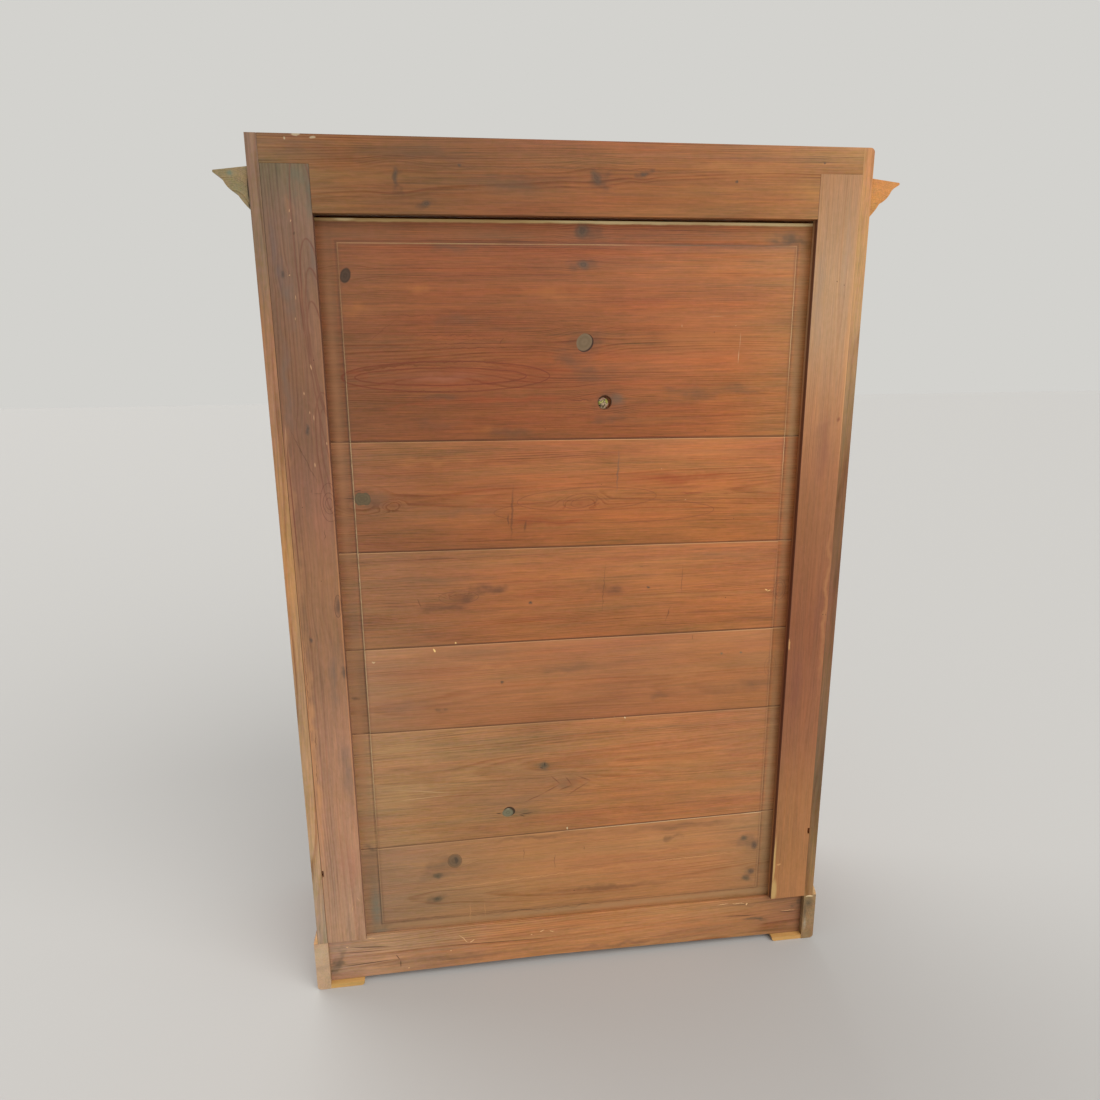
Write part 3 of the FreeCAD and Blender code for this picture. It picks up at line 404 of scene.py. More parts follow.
# How the arrises of each kind of piece have worn: how much is off and in how many steps, the
# angle in degrees past which an edge is an arris, and the shortest edge that has worn.
frameShape = {"arris": 1.3, "steps": 3, "sharpest": 40, "shortest": 25}
plankShape = {"arris": 0.7, "steps": 2, "sharpest": 40, "shortest": 200}
doorShape = {"arris": 0.9, "steps": 2, "sharpest": 40, "shortest": 20}
fineShape = {"arris": 0.4, "steps": 2, "sharpest": 40, "shortest": 5}
sideShape = {**frameShape, "rearFrom": 241.5}


def marked(*parts, **look):
    # One kind of mark, at every spot given. A spot is its middle, its half length and its half
    # width, and its turn in degrees where it has one. A colour or a strength given before the
    # spots takes the place of the kind's own.
    for part in parts:
        if isinstance(part, str):
            look["colour"] = part
        elif isinstance(part, float):
            look["strength"] = part
    return {**look, "spots": [(*part, 0)[:5] for part in parts if isinstance(part, tuple)]}


def shaded(places, colours):
    # The colour at each place along the grain: the wood's own tone, with painted light and shade.
    return tuple(zip(places, colours.split()))


# The kinds of mark. soft is where a mark's edge starts and ends, lift is its height over the
# wood, flow is how far the grain parts round it, and bulge is how far it pushes the rings.
# reach is how many times the mark's own size these two go, and broken is how much streaks in
# the grain break it up. A mark with a line is only a line round its edge, of that half width.
deadKnot = partial(marked, soft=(0.80, 1.08), strength=0.92, colour="55392a", second="3b281d",
                   flow=0.6, reach=3.2, lift=-0.8)
greyKnot = partial(marked, soft=(0.25, 1.35), strength=0.72, colour="5f4c3a", second="4d3e31",
                   flow=0.5, reach=3.0)
halo = partial(marked, outline="loose", soft=(0.0, 1.1), strength=0.42, colour="5f4836", broken=0.25)
eye = partial(marked, soft=(0.2, 1.0), strength=0.22, colour="8a4a2a", bulge=16, reach=1.8)
crack = partial(marked, outline="sharp", soft=(0.5, 1.0), strength=0.85, colour="2c1c14", lift=-2.0)
rubbed = partial(marked, outline="loose", soft=(0.0, 1.1), strength=0.40, broken=0.35)
growthLine = partial(marked, outline="edge", line=1.7, soft=(0.1, 1.0), strength=0.5, colour="74402a",
                     broken=0.12)
bareEdge = partial(marked, outline="edge", soft=(0.75, 1.0), strength=0.85)
scratch = partial(marked, outline="sharp", soft=(0.3, 1.0), strength=0.75, colour="c89c72")
stroke = partial(marked, soft=(0.3, 1.0), strength=0.50, colour="5a3a28")
chip = partial(marked, soft=(0.6, 1.0), strength=0.95, colour="dcae74", lift=-1.5)
jointDirt = partial(marked, outline="sharp", soft=(0.35, 1.0), strength=0.62, colour="4a3023", broken=0.25)
jointShine = partial(marked, outline="sharp", soft=(0.4, 1.0), strength=0.55, colour="c2966a", broken=0.5)
arrisShine = partial(marked, outline="sharp", soft=(0.4, 1.0), strength=0.5, broken=0.3)
# A dark line: painted shade where a face drops into a recess, beside a stile's inner edge and the field's
# step, and dirt in the joints beside the side boards and the top rail.
dirtAndShadeLine = partial(marked, outline="sharp", soft=(0.75, 1.0), strength=0.6, colour="562e20")


def joint(middle, turn, above):
    # Dirt along a plank's lower edge, or worn pale wood along its upper edge.
    if above:
        return jointDirt((0, middle + 1.2, 4000, 2.6, turn))
    return jointShine((0, middle - 1.6, 4000, 1.6, turn))


# The raised field's edges, and for each band along them where it starts, is full, fades and
# ends, its colour and its strength. The dark bands are dirt and painted shade beside the step,
# and the pale band on the edge is wear with a painted highlight.
fieldDirtAndShade = {
    "edges": (-461.5, 455, 151, 1659),
    "uneven": (3.0, -0.7),    # how much the dirt and painted shade come and go, and how little there is
    "bands": (
        (-7.0, -2.0, -1.2, 0.0, "6e4a34", 0.30),
        (-1.2, -0.3, 0.9, 2.0, "b8936a", 0.42),
        (1.4, 2.4, 3.2, 8.0, "4d382b", 0.42),
        (5.0, 12.0, 18.0, 40.0, "6a5c44", 0.22),
    ),
}

# Marks beside the field's edge, on every plank that they reach.
fieldLines = (
    halo("ab7852", 0.6, (478, 1300, 15, 460), (477, 620, 16, 330), outline="edge"),
    halo("7f7c6a", 0.7, (468, 190, 18, 90), (462, 128, 30, 12), outline="rough"),
    halo("ad8a62", 0.5, (-478, 1250, 14, 480), (-478, 450, 14, 420), (0, 139, 4000, 12),
        outline="rough"),
    arrisShine("dcc092", 0.95, (-462, 1500, 1.1, 175), (-462, 1250, 1.0, 110)),
    arrisShine("cdb48a", 0.9, (455.4, 1010, 1.3, 680), (455.4, 560, 1.1, 210)),
    arrisShine("9a8a5e", 0.6, (-20, 1659.5, 120, 1.1), (260, 1659.5, 200, 1.1)),
    dirtAndShadeLine("4a3b30", 0.55, (457.8, 236, 1.2, 112), (457.9, 1000, 0.8, 640),
        (-300, 1659.8, 175, 1.7)),
    halo("514638", 0.6, (-440, 1668, 55, 9), (-446, 1682, 34, 13), (468, 352, 24, 12),
        (462, 140, 22, 10)),
)

# The six planks, from the top down. The colours of five of them change at the same places.
plankPlaces = (-480, -330, -110, 110, 300, 480)
plank1 = dict(
    pith=(1430, -200), lean=0.9, slew=0.25, shift=180,
    stops=shaded((-480, -330, -110, 60, 300, 480), "a77247 a46339 9a5a35 8d5230 8a5333 805338"),
    marks=(
        rubbed("9e4829", 0.4, (180, 1405, 330, 36, 0.5), (120, 1360, 250, 12), (416, 1412, 30, 15),
            (108, 1410, 40, 15), (330, 1350, 60, 5)),
        rubbed("5f4835", 0.55, (219, 1515, 64, 17), (279, 1364, 66, 10), (302, 1313, 80, 17, -2),
            (135, 1292, 60, 15, 3), (221, 1649, 64, 11), (-253, 1368, 80, 18, 2), (-343, 1374, 64, 12),
            (8, 1440, 56, 26, 10), (-30, 1412, 62, 30), (-80, 1316, 40, 14)),
        rubbed("b4703a", 0.42, (-280, 1480, 190, 60), (311, 1573, 36, 12), (424, 1538, 36, 22),
            (30, 1560, 90, 26), (170, 1302, 44, 12, 4), (-389, 1397, 60, 11)),
        # A pale bare strip along the plank's top edge, under the top rail. Its colour is raised above the
        # bare wood's own: painted light that makes up for the shadow that the rail casts on it.
        bareEdge("c9ab70", (0, 1702.4, 4000, 6.0), soft=(0.35, 1.05), broken=0.25),
        bareEdge("ecd7a2", (-440, 1702, 330, 5.4), (-120, 1702, 260, 5.0), (440, 1702.5, 26, 5.0),
            soft=(0.3, 1.0), broken=0.3),
        halo("4c3b2d", 0.55, (-18, 1684, 34, 22), (-18, 1622, 30, 18), (-30, 1470, 44, 30, -20),
            (-84, 1356, 52, 34, 25), (-458, 1674, 34, 15, 5)),
        eye("9c5c40", 0.1, (268, 1408, 190, 31, 0.2), bulge=13, reach=1.25),
        rubbed("a06850", 0.5, (270, 1408, 110, 13)),
        growthLine("71341f", 0.75, (258, 1408, 208, 30, 0.2), (268, 1408, 170, 17, 0.2), line=2.0),
        stroke("64301d", 0.6, (300, 1379.5, 158, 1.1, 0.2), (262, 1437, 185, 1.0),
            (330, 1526, 110, 0.8), (-12, 1357, 42, 2.0, 1), (250, 1488, 120, 0.8, 0.4),
            (230, 1480, 150, 0.7, 0.3), (240, 1472, 130, 0.7, 0.4), (200, 1463, 160, 0.8, 0.2),
            (300, 1368, 90, 0.7, 0.3), (146, 1476, 1.1, 11, 30), (381, 1497, 56, 0.6, -36)),
        greyKnot(0.85, (-17, 1685, 16, 15), (-19, 1622, 13, 9, 15)),
        deadKnot("47372a", (443.5, 1600, 15, 10.2, 110), second="3a2b20", outline="edge"),
        crack((-23.6, 1471.2, 16.4, 19.6, 30), soft=(0.93, 1.0), outline="edge"),
        deadKnot("705b41", 0.97, (-21.6, 1473, 15.6, 18.2, 30), second="7a644a", soft=(0.94, 1.0),
            outline="edge"),
        deadKnot("4a3a2b", (-65, 1352, 16.2, 15.8), second="33261c", soft=(0.8, 1.0), outline="edge"),
        halo("56584c", 0.6, (-92, 1358, 22, 17, 10), outline="rough"),
        scratch((-349, 1442, 1.1, 18, 1.5), (-351, 1474, 0.7, 22, 1.5), (-225, 1504, 0.9, 4),
            (-340, 1504, 1.4, 1.2), (-298, 1523, 24, 0.5), (-143, 1271, 5, 1.0)),
        crack(0.75, (-294, 1491, 1.3, 1.3), (-283, 1289, 1.3, 1.3), (60, 1300, 1.2, 1.2)),
        joint(1277.2, 0.52, True),
    ),
)

plank2 = dict(
    pith=(1160, -205), lean=1.1, slew=-0.2, shift=900,
    stops=shaded(plankPlaces, "aa6b41 ab6a3b a26439 9b5f39 905c39 8f6145"),
    marks=(
        rubbed("93401f", 0.55, (90, 1106, 85, 10), (30, 1100, 60, 8, 2), (-230, 1190, 160, 14)),
        rubbed("b87844", 0.4, (-250, 1240, 220, 20), (300, 1240, 160, 12)),
        rubbed("6e5440", 0.5, (420, 1160, 60, 26), (250, 1130, 110, 14)),
        stroke((132, 1126, 3.5, 74, 3), (104, 1096, 4, 15, 10), (140, 1110, 3, 18)),
        stroke("5f4f40", 0.5, (-95, 1208, 2.6, 56, 3)),
        scratch((-245, 1141, 2.4, 1.1, -10), (-190, 1210, 1.0, 1.6)),
        crack(0.75, (-356, 1095, 1.3, 1.3), (-60, 1180, 1.0, 1.0)),
        eye((-15, 1146, 40, 15, -4)),
        eye(0.15, (380, 1149, 20, 9, -8), bulge=10),
        growthLine(0.55, (-15, 1146, 38, 15, -8), (-22, 1144, 28, 10, -10), (380, 1149, 19, 10, -8),
            (-30, 1150, 150, 24, -1), (-70, 1122, 240, 26, 1), line=1.3),
        stroke("7a3520", 0.5, (-52, 1139, 6, 2.4, -20), (-261, 1156, 40, 2.6, 2),
            (-343, 1152, 30, 1.6, -3), (-300, 1141, 90, 0.8, 2), (-200, 1128, 120, 0.8, -1)),
        halo((437, 1165, 38, 26)),
        deadKnot("66583f", 0.94, (433, 1165, 11, 13.5), (444, 1165, 11, 14), (439, 1160, 15.5, 8),
            (439, 1170, 15.5, 8), second="5c4e38", soft=(0.9, 1.0)),
        crack(0.7, (466, 1166, 14, 0.9, 4), (447, 1182, 9, 0.9, -10), (456, 1166, 0.9, 11)),
        joint(1277.2, 0.52, False),
        joint(1046.6, 0.58, True),
    ),
)

plank3 = dict(
    pith=(930, -196), lean=-0.8, slew=0.2, shift=1700,
    stops=shaded(plankPlaces, "a56a43 a76a3f 9e653e 9d643d 946343 976b4e"),
    marks=(
        rubbed("5b3d2c", 0.72, (250, 945, 50, 20), (192, 956, 50, 17), (-85, 944, 46, 13),
            (290, 925, 90, 12)),
        rubbed("b4703c", 0.42, (-250, 960, 180, 16), (60, 985, 150, 10)),
        rubbed("70563c", 0.42, (300, 985, 150, 16), (-330, 1015, 120, 14)),
        stroke("5e3b2a", 0.55, (334.5, 934.5, 1.3, 17, -19.5), (-66.5, 946, 1.3, 72, 3.6),
            (-214, 883.5, 1.3, 26, 18), (-243.5, 962.5, 1.3, 42, 2), (-151, 994, 6, 1.3)),
        eye((250, 944, 36, 11), (-473, 927, 10, 20)),
        growthLine("6f4631", (250, 944, 42, 14), (250, 944, 20, 6), (-473, 927, 9, 17),
            (-473, 927, 14, 25)),
        greyKnot(0.9, (96, 924, 4.4, 4), (-167, 947, 4, 3.6)),
        crack(0.75, (-346, 914, 1.5, 1.5)),
        chip("ecc27c", (-441, 928, 4, 1.3, 35), (-447, 925, 4, 1.3, -30), (261, 841, 2.4, 2.2)),
        joint(1046.6, 0.58, False),
        joint(835.4, 0.0, True),
    ),
)

plank4 = dict(
    pith=(705, -186), lean=0.6, slew=0.1, shift=2500, contrast=0.7, latePull=(-0.15, -0.21, -0.24),
    stops=shaded(plankPlaces, "a8714a a76e46 a16947 a26b46 a06d4c 9e765a"),
    marks=(
        rubbed("7d5a3c", 0.42, (220, 815, 180, 14), (-40, 770, 160, 16), (-330, 690, 130, 28)),
        rubbed("6f5648", 0.35, (380, 700, 90, 24)),
        rubbed("ba7d4c", 0.45, (180, 780, 90, 9, 1), (-250, 740, 140, 14)),
        rubbed("684d38", 0.5, (-415, 700, 62, 22), (-200, 685, 62, 14), (9, 764, 62, 14),
            (279, 685, 14, 9)),
        greyKnot(0.85, (161, 742, 4.4, 4), (481, 724, 9, 4)),
        greyKnot("666650", (-344, 780, 3.4, 3), (-390, 780, 3.4, 3), second="5a5a46"),
        stroke(0.6, (-273, 823, 1.3, 8)),
        growthLine("7a5238", 0.35, (-462, 742, 8, 14), (-462, 742, 14, 24)),
        chip("c8ab80", 0.7, (438, 807, 5, 2), (-95, 641, 3, 1.3), (-46, 639.6, 2.4, 1.2)),
        chip("ecc27c", (307, 826, 2.2, 5, -20)),
        joint(835.4, 0.0, False),
        joint(638.4, 0.0, True),
    ),
)

plank5 = dict(
    pith=(545, -190), lean=0.9, slew=0.3, shift=3300, latePull=(-0.15, -0.21, -0.24),
    stops=shaded(plankPlaces, "a4714c a56f48 a97047 9c6f4b 9e7551 a17c5c"),
    marks=(
        rubbed("ad8758", 0.5, (392, 596, 76, 24), (400, 480, 70, 60)),
        rubbed("c79e70", 0.7, (354, 488, 95, 2.2, 7.7), (354, 470, 93, 2.0, -2.8), outline="edge"),
        rubbed("7f624a", 0.35, (120, 450, 190, 30), (60, 500, 120, 22)),
        rubbed("b1733f", 0.35, (-230, 520, 200, 30, 2), (-330, 450, 130, 24)),
        halo("665c46", 0.55, (68, 527, 38, 17), (140, 412, 60, 20, 3), (10, 480, 46, 20, 10)),
        eye("8a5536", 0.3, (6, 482, 44, 16), bulge=7),
        stroke("6b3c28", 0.7, (43, 491, 22, 2.4, 48), (53, 468, 30, 2.4, -26), (92, 449, 36, 2.0, -22),
            (12, 486, 20, 2.4, 57), (20, 468, 24, 2.4, -18), (-23, 490, 24, 2.0, 25),
            (-10, 464, 42, 2.0, -31), soft=(0.1, 1.0), outline="edge"),
        greyKnot("57503e", (69, 529, 12, 9), second="494334"),
        crack((67.5, 533, 1.1, 7, 4), (75, 524, 5, 1.0, 20)),
        crack("1f1811", (151.5, 418.4, 14.4, 12.4), soft=(0.9, 1.0), outline="edge"),
        deadKnot("79735a", 0.96, (155, 415.6, 13.2, 10.8), second="6a654e", soft=(0.9, 1.0),
            outline="edge"),
        scratch("c9c2a4", (154, 425.2, 7, 0.9, 3)),
        crack((112, 409.5, 19, 1.3, -3), (122, 405, 9, 1.0, 22), (176, 415, 7, 1.2)),
        chip("d9c49a", (16, 362, 2.2, 4), (-120, 637, 2.2, 1.8)),
        joint(638.4, 0.0, False),
        joint(355.6, -0.76, True),
    ),
)

plank6 = dict(
    pith=(215, -198), lean=-1.0, slew=0.2, shift=4100, contrast=0.7,
    stops=shaded(plankPlaces, "9d7451 ab774f ab774f ad7b52 a57d5b a38167"),
    marks=(
        rubbed("bf8450", 0.5, (0, 246, 430, 8, 0.8), (-200, 280, 160, 7, 1), (330, 300, 90, 9)),
        rubbed("5e432e", 0.6, (70, 344, 190, 9, -0.8), (-270, 342, 190, 12, -0.8), (-90, 190, 200, 12),
            (-239, 308, 20, 12)),
        stroke("cd9461", 0.6, (130, 236, 265, 1.7, -2), (-290, 252, 170, 1.5, -1.5)),
        rubbed("48362a", 0.6, (60, 146, 220, 4), (380, 150, 120, 5)),
        halo("58493a", 0.5, (300, 296, 50, 26), (323, 265, 34, 15), (324, 201, 26, 17),
            (-440, 280, 30, 30, 30), (-438, 188, 28, 22, 40)),
        deadKnot("725c45", 0.8, (281, 301, 15.5, 17), second="5d4c37", outline="edge"),
        greyKnot("4d4337", 0.8, (278.5, 301, 6, 12, -6)),
        growthLine("4b3a2b", 0.7, (281, 301, 16, 17.5), line=1.2),
        greyKnot("56503e", (323, 265, 12, 8, 8), (326, 201, 11, 8), (-433, 178, 11, 9, 20),
            (-423, 292, 10, 7), second="474233"),
        greyKnot("5a493c", (-447, 197, 9, 9), (-450, 268, 7, 13), second="4a3c33"),
        stroke("5e4030", 0.6, (119.5, 303, 1.2, 22, 1), (46, 275, 1.1, 28), (-25, 304, 1.0, 8),
            (240, 144, 9, 1.8, 3)),
        stroke("cd9461", 0.5, (250, 156, 1.4, 36, 3), (215, 160, 1.2, 26, -4)),
        crack(0.7, (-1, 190, 2.6, 1.4)),
        arrisShine("d8c298", 0.85, (-190, 357.2, 300, 0.9, -0.76), (-440, 360.4, 36, 1.2, -0.76)),
        joint(355.6, -0.76, False),
    ),
)

for number, look in enumerate((plank1, plank2, plank3, plank4, plank5, plank6), 1):
    look["marks"] += fieldLines
    board = pine(f"stainedPine{number}", field=fieldDirtAndShade, depth=(224.5, 14), **look)
    weathered(f"back_plank_{number}", {"x": board}, plankShape)

# Where a knot fell out of the top plank: a rough hole with a wad of old paper pushed into it.
# narrow is the hole's radius deep down as a share of its radius at the plank's face, rough is
# how fine and how deep its wall's unevenness is, folds are how fine the wad's folds are and the
# least and the range of its radius, and flat is how far the wad is pressed.
knotHole = {"middle": (-65, 224.5, 1352), "across": 30, "narrow": 0.92, "depth": 9.5, "rough": (90, 0.10),
            "wad": 26, "wadMiddle": (-62, 219.4, 1349.8), "folds": (130, 0.72, 0.16), "flat": 0.34}
hole = bmesh.new()
radius = 0.5 * knotHole["across"] * mm
bmesh.ops.create_cone(
    hole, cap_ends=True, segments=28, radius1=knotHole["narrow"] * radius, radius2=radius,
    depth=2 * knotHole["depth"] * mm,
)
bmesh.ops.rotate(hole, matrix=Matrix.Rotation(math.radians(-90), 3, "X"), verts=hole.verts)
fine, uneven = knotHole["rough"]
for vert in hole.verts:
    vert.co *= 1 + uneven * noise.noise(vert.co * fine)
bmesh.ops.translate(hole, vec=[c * mm for c in knotHole["middle"]], verts=hole.verts)
cutter = placed(hole, "cutter")
topPlank = bpy.data.objects["backPlank1"]
cut = topPlank.modifiers.new("knotHole", "BOOLEAN")
cut.object = cutter
cut.operation = "DIFFERENCE"
cut.solver = "EXACT"
bored = bpy.data.meshes.new_from_object(topPlank.evaluated_get(bpy.context.evaluated_depsgraph_get()))
topPlank.modifiers.remove(cut)
topPlank.data = bored
bpy.data.objects.remove(cutter)
wad = bmesh.new()
bmesh.ops.create_icosphere(wad, subdivisions=4, radius=0.5 * knotHole["wad"] * mm)
fine, least, more = knotHole["folds"]
for vert in wad.verts:
    vert.co *= least + more * noise.ridged_multi_fractal(vert.co * fine, 0.8, 2.2, 3, 0.9, 2.0)
bmesh.ops.scale(wad, vec=(1.0, knotHole["flat"], 1.0), verts=wad.verts)
bmesh.ops.translate(wad, vec=[c * mm for c in knotHole["wadMiddle"]], verts=wad.verts)
paperWad = placed(wad, "paperWad")
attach(paperWad, "cabinet")
# Crumpled old paper: matt and creased, cream with dirt in the folds and faded tints. tints and
# creases are the scales of their noise, and relief is how high the creases stand.
paperLook = {
    "stops": ((0.38, "96705a"), (0.45, "b39a78"), (0.49, "3a2417"), (0.51, "3a2417"),
              (0.55, "b3aa66"), (0.60, "8f8836")),
    "tints": 110, "creases": 420, "relief": 0.5, "roughness": 0.85,
}
oldPaper, add = newMaterial("oldPaper")
here = add("TexCoord", out="Object")
tint = add("TexNoise", {"Vector": here, "Scale": paperLook["tints"], "Detail": 1.0})
colour = add("ValToRGB", (tint,))
stops = colour.node.color_ramp.elements
first, *between, last = paperLook["stops"]
for stop, (place, hexColour) in zip(stops, (first, last)):
    stop.position = place
    stop.color = linear(hexColour)
for place, hexColour in between:
    stops.new(place).color = linear(hexColour)
crease = add("TexNoise", {"Vector": here, "Scale": paperLook["creases"], "Detail": 3.0})
normal = add("Bump", {"Height": crease, "Strength": 0.6, "Distance": paperLook["relief"] * mm})
paper = {"Base Color": colour, "Roughness": paperLook["roughness"], "Normal": normal}
add("OutputMaterial", {"Surface": add("BsdfPrincipled", paper)})
paperWad.data.materials.append(oldPaper)
print("planks made")

# The two stiles. The growth lines of the right one run off its inner edge.
rightStile = dict(
    pith=(505, 190), lean=0.8, shift=300, ringWidth=5.4, latePull=(-0.13, -0.17, -0.15),
    patterns=softPatterns,
    stops=shaded((200, 400, 600, 780, 1000, 1200, 1400, 1550, 1700, 1780),
        "b08b74 ac836d a47b64 946e57 8f684d 865f4e 805c47 825f4b 7d6151 71614d"),
    marks=(
        rubbed("c58d5c", 0.55, (577, 1120, 12, 260), (576, 620, 11, 420)),
        rubbed("6f5f54", 0.5, (566, 1400, 14, 130), (520, 790, 14, 100), (508, 560, 18, 110),
            (545, 1560, 18, 60), (500, 1640, 9, 70)),
        rubbed("5f6150", 0.55, (515, 1765, 26, 26), (497, 1730, 12, 36)),
        rubbed("a96c55", 0.4, (520, 1130, 26, 90), (520, 330, 30, 90)),
        rubbed("a8785a", 0.4, (511, 1440, 10, 105)),
        rubbed("6d5c58", 0.45, (570, 1655, 10, 60), (562, 1600, 12, 50)),
        rubbed("9a6c4c", 0.4, (538, 1722, 12, 22), (520, 1560, 8, 60)),
        growthLine("6b3c2b", 0.62, (494, 1505, 31, 320, -4), (498, 1500, 24, 164, -4),
            (495, 1470, 20, 142, -4.5), (499, 1442, 16, 110, -5), (494, 1265, 15, 85, -4),
            (494, 1256, 24, 125, -3), line=2.7, soft=(0.0, 1.0), broken=0.22),
        growthLine("5a3024", 0.6, (503, 1161, 7, 12), (503, 1161, 12, 22), (502, 1163, 18, 40),
            line=1.2),
        greyKnot("5f4838", 0.75, (501, 943, 6.5, 23, 3), second="563f32"),
        growthLine("4a3026", 0.6, (501, 943, 7, 24, 3), line=1.2),
        greyKnot("54473f", 0.8, (557, 1600, 5, 8), (560, 870, 4, 6), (497, 795, 8, 16),
            (534, 1310, 4, 12)),
        scratch((518, 1430, 1.6, 7, -10), (535, 1380, 1.4, 4), (520, 1333, 1.0, 7), (525, 1240, 1.6, 6),
            (527, 1343, 1.0, 4), (499, 1282, 1.2, 4), (520, 210, 1.2, 12, 20), (505, 235, 1.0, 9, -30)),
        stroke(0.65, (545.5, 1258, 1.2, 79, -22.8), (534.5, 1187, 0.8, 7), (525, 1181.5, 10, 0.8),
            (517, 1096, 1.0, 16, 8), (570, 640, 1.2, 26, 2), (573, 560, 1.0, 40)),
        crack(0.7, (512, 1443, 1.2, 1.2), (556, 1155, 1.2, 1.2), (531, 999, 1.2, 1.2)),
        arrisShine("c79a70", 0.9, (576.5, 1290, 1.6, 38, 0.6)),
        dirtAndShadeLine("6a3426", 0.7, (574.5, 1165, 1.3, 165, -0.8)),
        stroke("6a4128", 0.6, (578, 760, 1.0, 180, 0.4)),
        arrisShine("c08050", 0.5, (496.2, 905, 1.4, 795), (580.2, 600, 1.2, 700)),
        dirtAndShadeLine((493.4, 900, 1.3, 4000)),
        dirtAndShadeLine("4a3626", 0.65, (494.6, 1752, 1.0, 44), (582, 1000, 1.1, 4000)),
        scratch((544, 1599, 2.2, 1.4, -30), (535, 1712, 1.0, 4, 10), (534, 1695, 1.4, 3, 20),
            (536, 1559, 0.8, 6), (540, 1520, 0.8, 4)),
        crack("4a3526", 0.5, (530, 1673, 2.6, 4, 20)),
    ),
)
leftStile = dict(
    contrast=0.78, pith=(-540, 205), lean=0.5, shift=1300, ringWidth=3.6,
    latePull=(-0.09, -0.12, -0.12),
    patterns=softPatterns,
    stops=shaded((200, 400, 560, 700, 850, 1050, 1200, 1330, 1480, 1600, 1780),
        "a9764d a4714b 966346 8f5c41 915b3f 976343 9f6b49 ae7c58 b48d6d b8916f ab7e59"),
    marks=(
        rubbed("7d4a3a", 0.45, (-540, 1250, 22, 110), (-520, 700, 20, 120), (-560, 880, 14, 90)),
        rubbed("a08672", 0.5, (-510, 1560, 12, 150), (-560, 1650, 9, 90)),
        rubbed("c78d58", 0.4, (-577, 900, 8, 300), (-577, 1500, 8, 200)),
        greyKnot("7a3a28", 0.6, (-572, 1309, 4, 6), (-484, 1490, 3, 16, -4), second="6a2f20"),
        crack((-572, 868, 1.7, 1.7), (-579, 867, 1.4, 1.4), (-545, 1590, 1.3, 1.3),
            (-561, 1583, 1.3, 1.3)),
        chip("cf9a62", 0.75, (-497, 800, 2.5, 16, -2), (-508, 222, 6, 3)),
        arrisShine("cf9a66", 0.5, (-580.4, 1500, 1.4, 420)),
        bareEdge("c5a267", (-500, 150, 10, 38), (-497, 230, 3.5, 80), soft=(0.4, 1.1)),
        dirtAndShadeLine(0.85, (-493.4, 900, 1.6, 4000)),
    ),
)

for node, name, look in (
    ("back_stile_right", "rightStilePine", rightStile),
    ("back_stile_left", "leftStilePine", leftStile),
):
    weathered(node, {"z": pine(name, grain="zFacing", depth=(243, 16), **look)}, frameShape)

# The rail above the panel, and the plinth's rail below it.
topRailPine = pine(
    "topRailPine", pith=(1740, -190), shift=5100, lean=0.7, depth=(243, 14),
    stops=shaded((-580, -430, -250, -60, 110, 280, 430, 580),
        "a4794e a16b41 946138 945c37 895838 7d5537 885d3a 836549"),
    marks=(
        rubbed("94582f", 0.45, (420, 1790, 120, 14), (200, 1740, 120, 18), (-200, 1730, 160, 12)),
        rubbed("5e4a38", 0.5, (130, 1765, 110, 22), (300, 1815, 160, 14), (520, 1815, 60, 16)),
        rubbed("bb8146", 0.45, (-350, 1800, 160, 16), (-480, 1760, 80, 22)),
        halo("4b3a2e", 0.6, (-44, 1772, 26, 30, 30), (-134, 1785, 16, 10), (339, 1769, 12, 34, 4),
            (284, 1727, 20, 12)),
        greyKnot((-40, 1780, 9, 16, -28), (-134, 1786, 7, 5), (339, 1776, 5, 16, 3), (284, 1727, 9, 6)),
        greyKnot(0.85, (-321, 1775, 3, 3), (220, 1795, 4, 4), (-500, 1813, 3, 2.5)),
        stroke(0.35, (0, 1793.5, 480, 0.9)),
        chip("b8a584", 0.8, (513, 1841, 8, 3.4), (484, 1838, 8, 2.2, -6), (534, 1835, 2.4, 2.4)),
    ),
)
weathered("back_top_rail", {"x": topRailPine}, frameShape)
rearRailPine = pine(
    "rearRailPine", pith=(60, -190), shift=6100, lean=0.7, depth=(231, 14),
    stops=shaded((-580, -430, -200, 0, 180, 340, 450, 580),
        "8b6147 9e6f4a ac7951 b0794f ae7a52 a47c5f ae8667 a5826f"),
    marks=(
        rubbed("b87444", 0.5, (0, 100, 300, 9, 0.3), (-330, 60, 160, 10), (330, 60, 120, 9)),
        rubbed("6d4f3c", 0.5, (300, 40, 260, 12, 1), (-150, 30, 220, 8, -0.6), (-420, 108, 120, 6)),
        # Dark grey: at the rail's two ends, beside the plinth's returns, painted shade with dirt, and a
        # thin streak near one end.
        rubbed("4a4436", 0.7, (-587, 92, 14, 26), (-470, 60, 60, 6, 3), (560, 60, 16, 50)),
        crack("452a20", 0.8, (487, 93, 56, 1.9, 5.3), (496, 49, 72, 1.6, -2.5), (505, 82, 72, 1.2, 2),
            (419.5, 38, 1.4, 12, 1), (425, 57, 1.4, 10, -30), (-548, 74, 30, 1.5, 3),
            (-425, 75, 52, 1.4, 3), (200, 72, 160, 1.0, 1.5)),
        chip("dfb07c", (268.5, 90.5, 19, 0.9, 49), (248, 81, 9, 1.4, -31), (483, 117, 10, 0.9, 8),
            (541, 98, 3, 1.2), (401, 24, 2.6, 1.4), (299, 61, 2.4, 1.6), (104, 84, 3.5, 1.2),
            (78, 90, 6, 1.1, -18), (56, 86, 7, 1.0, 14), (-375, 114, 17, 0.8), (-415, 112, 19, 0.9, 4),
            (-437, 107, 2.4, 4, 10), (-548, 77, 22, 0.8, 3)),
    ),
)
weathered("plinth_rear_rail", {"x": rearRailPine}, frameShape)

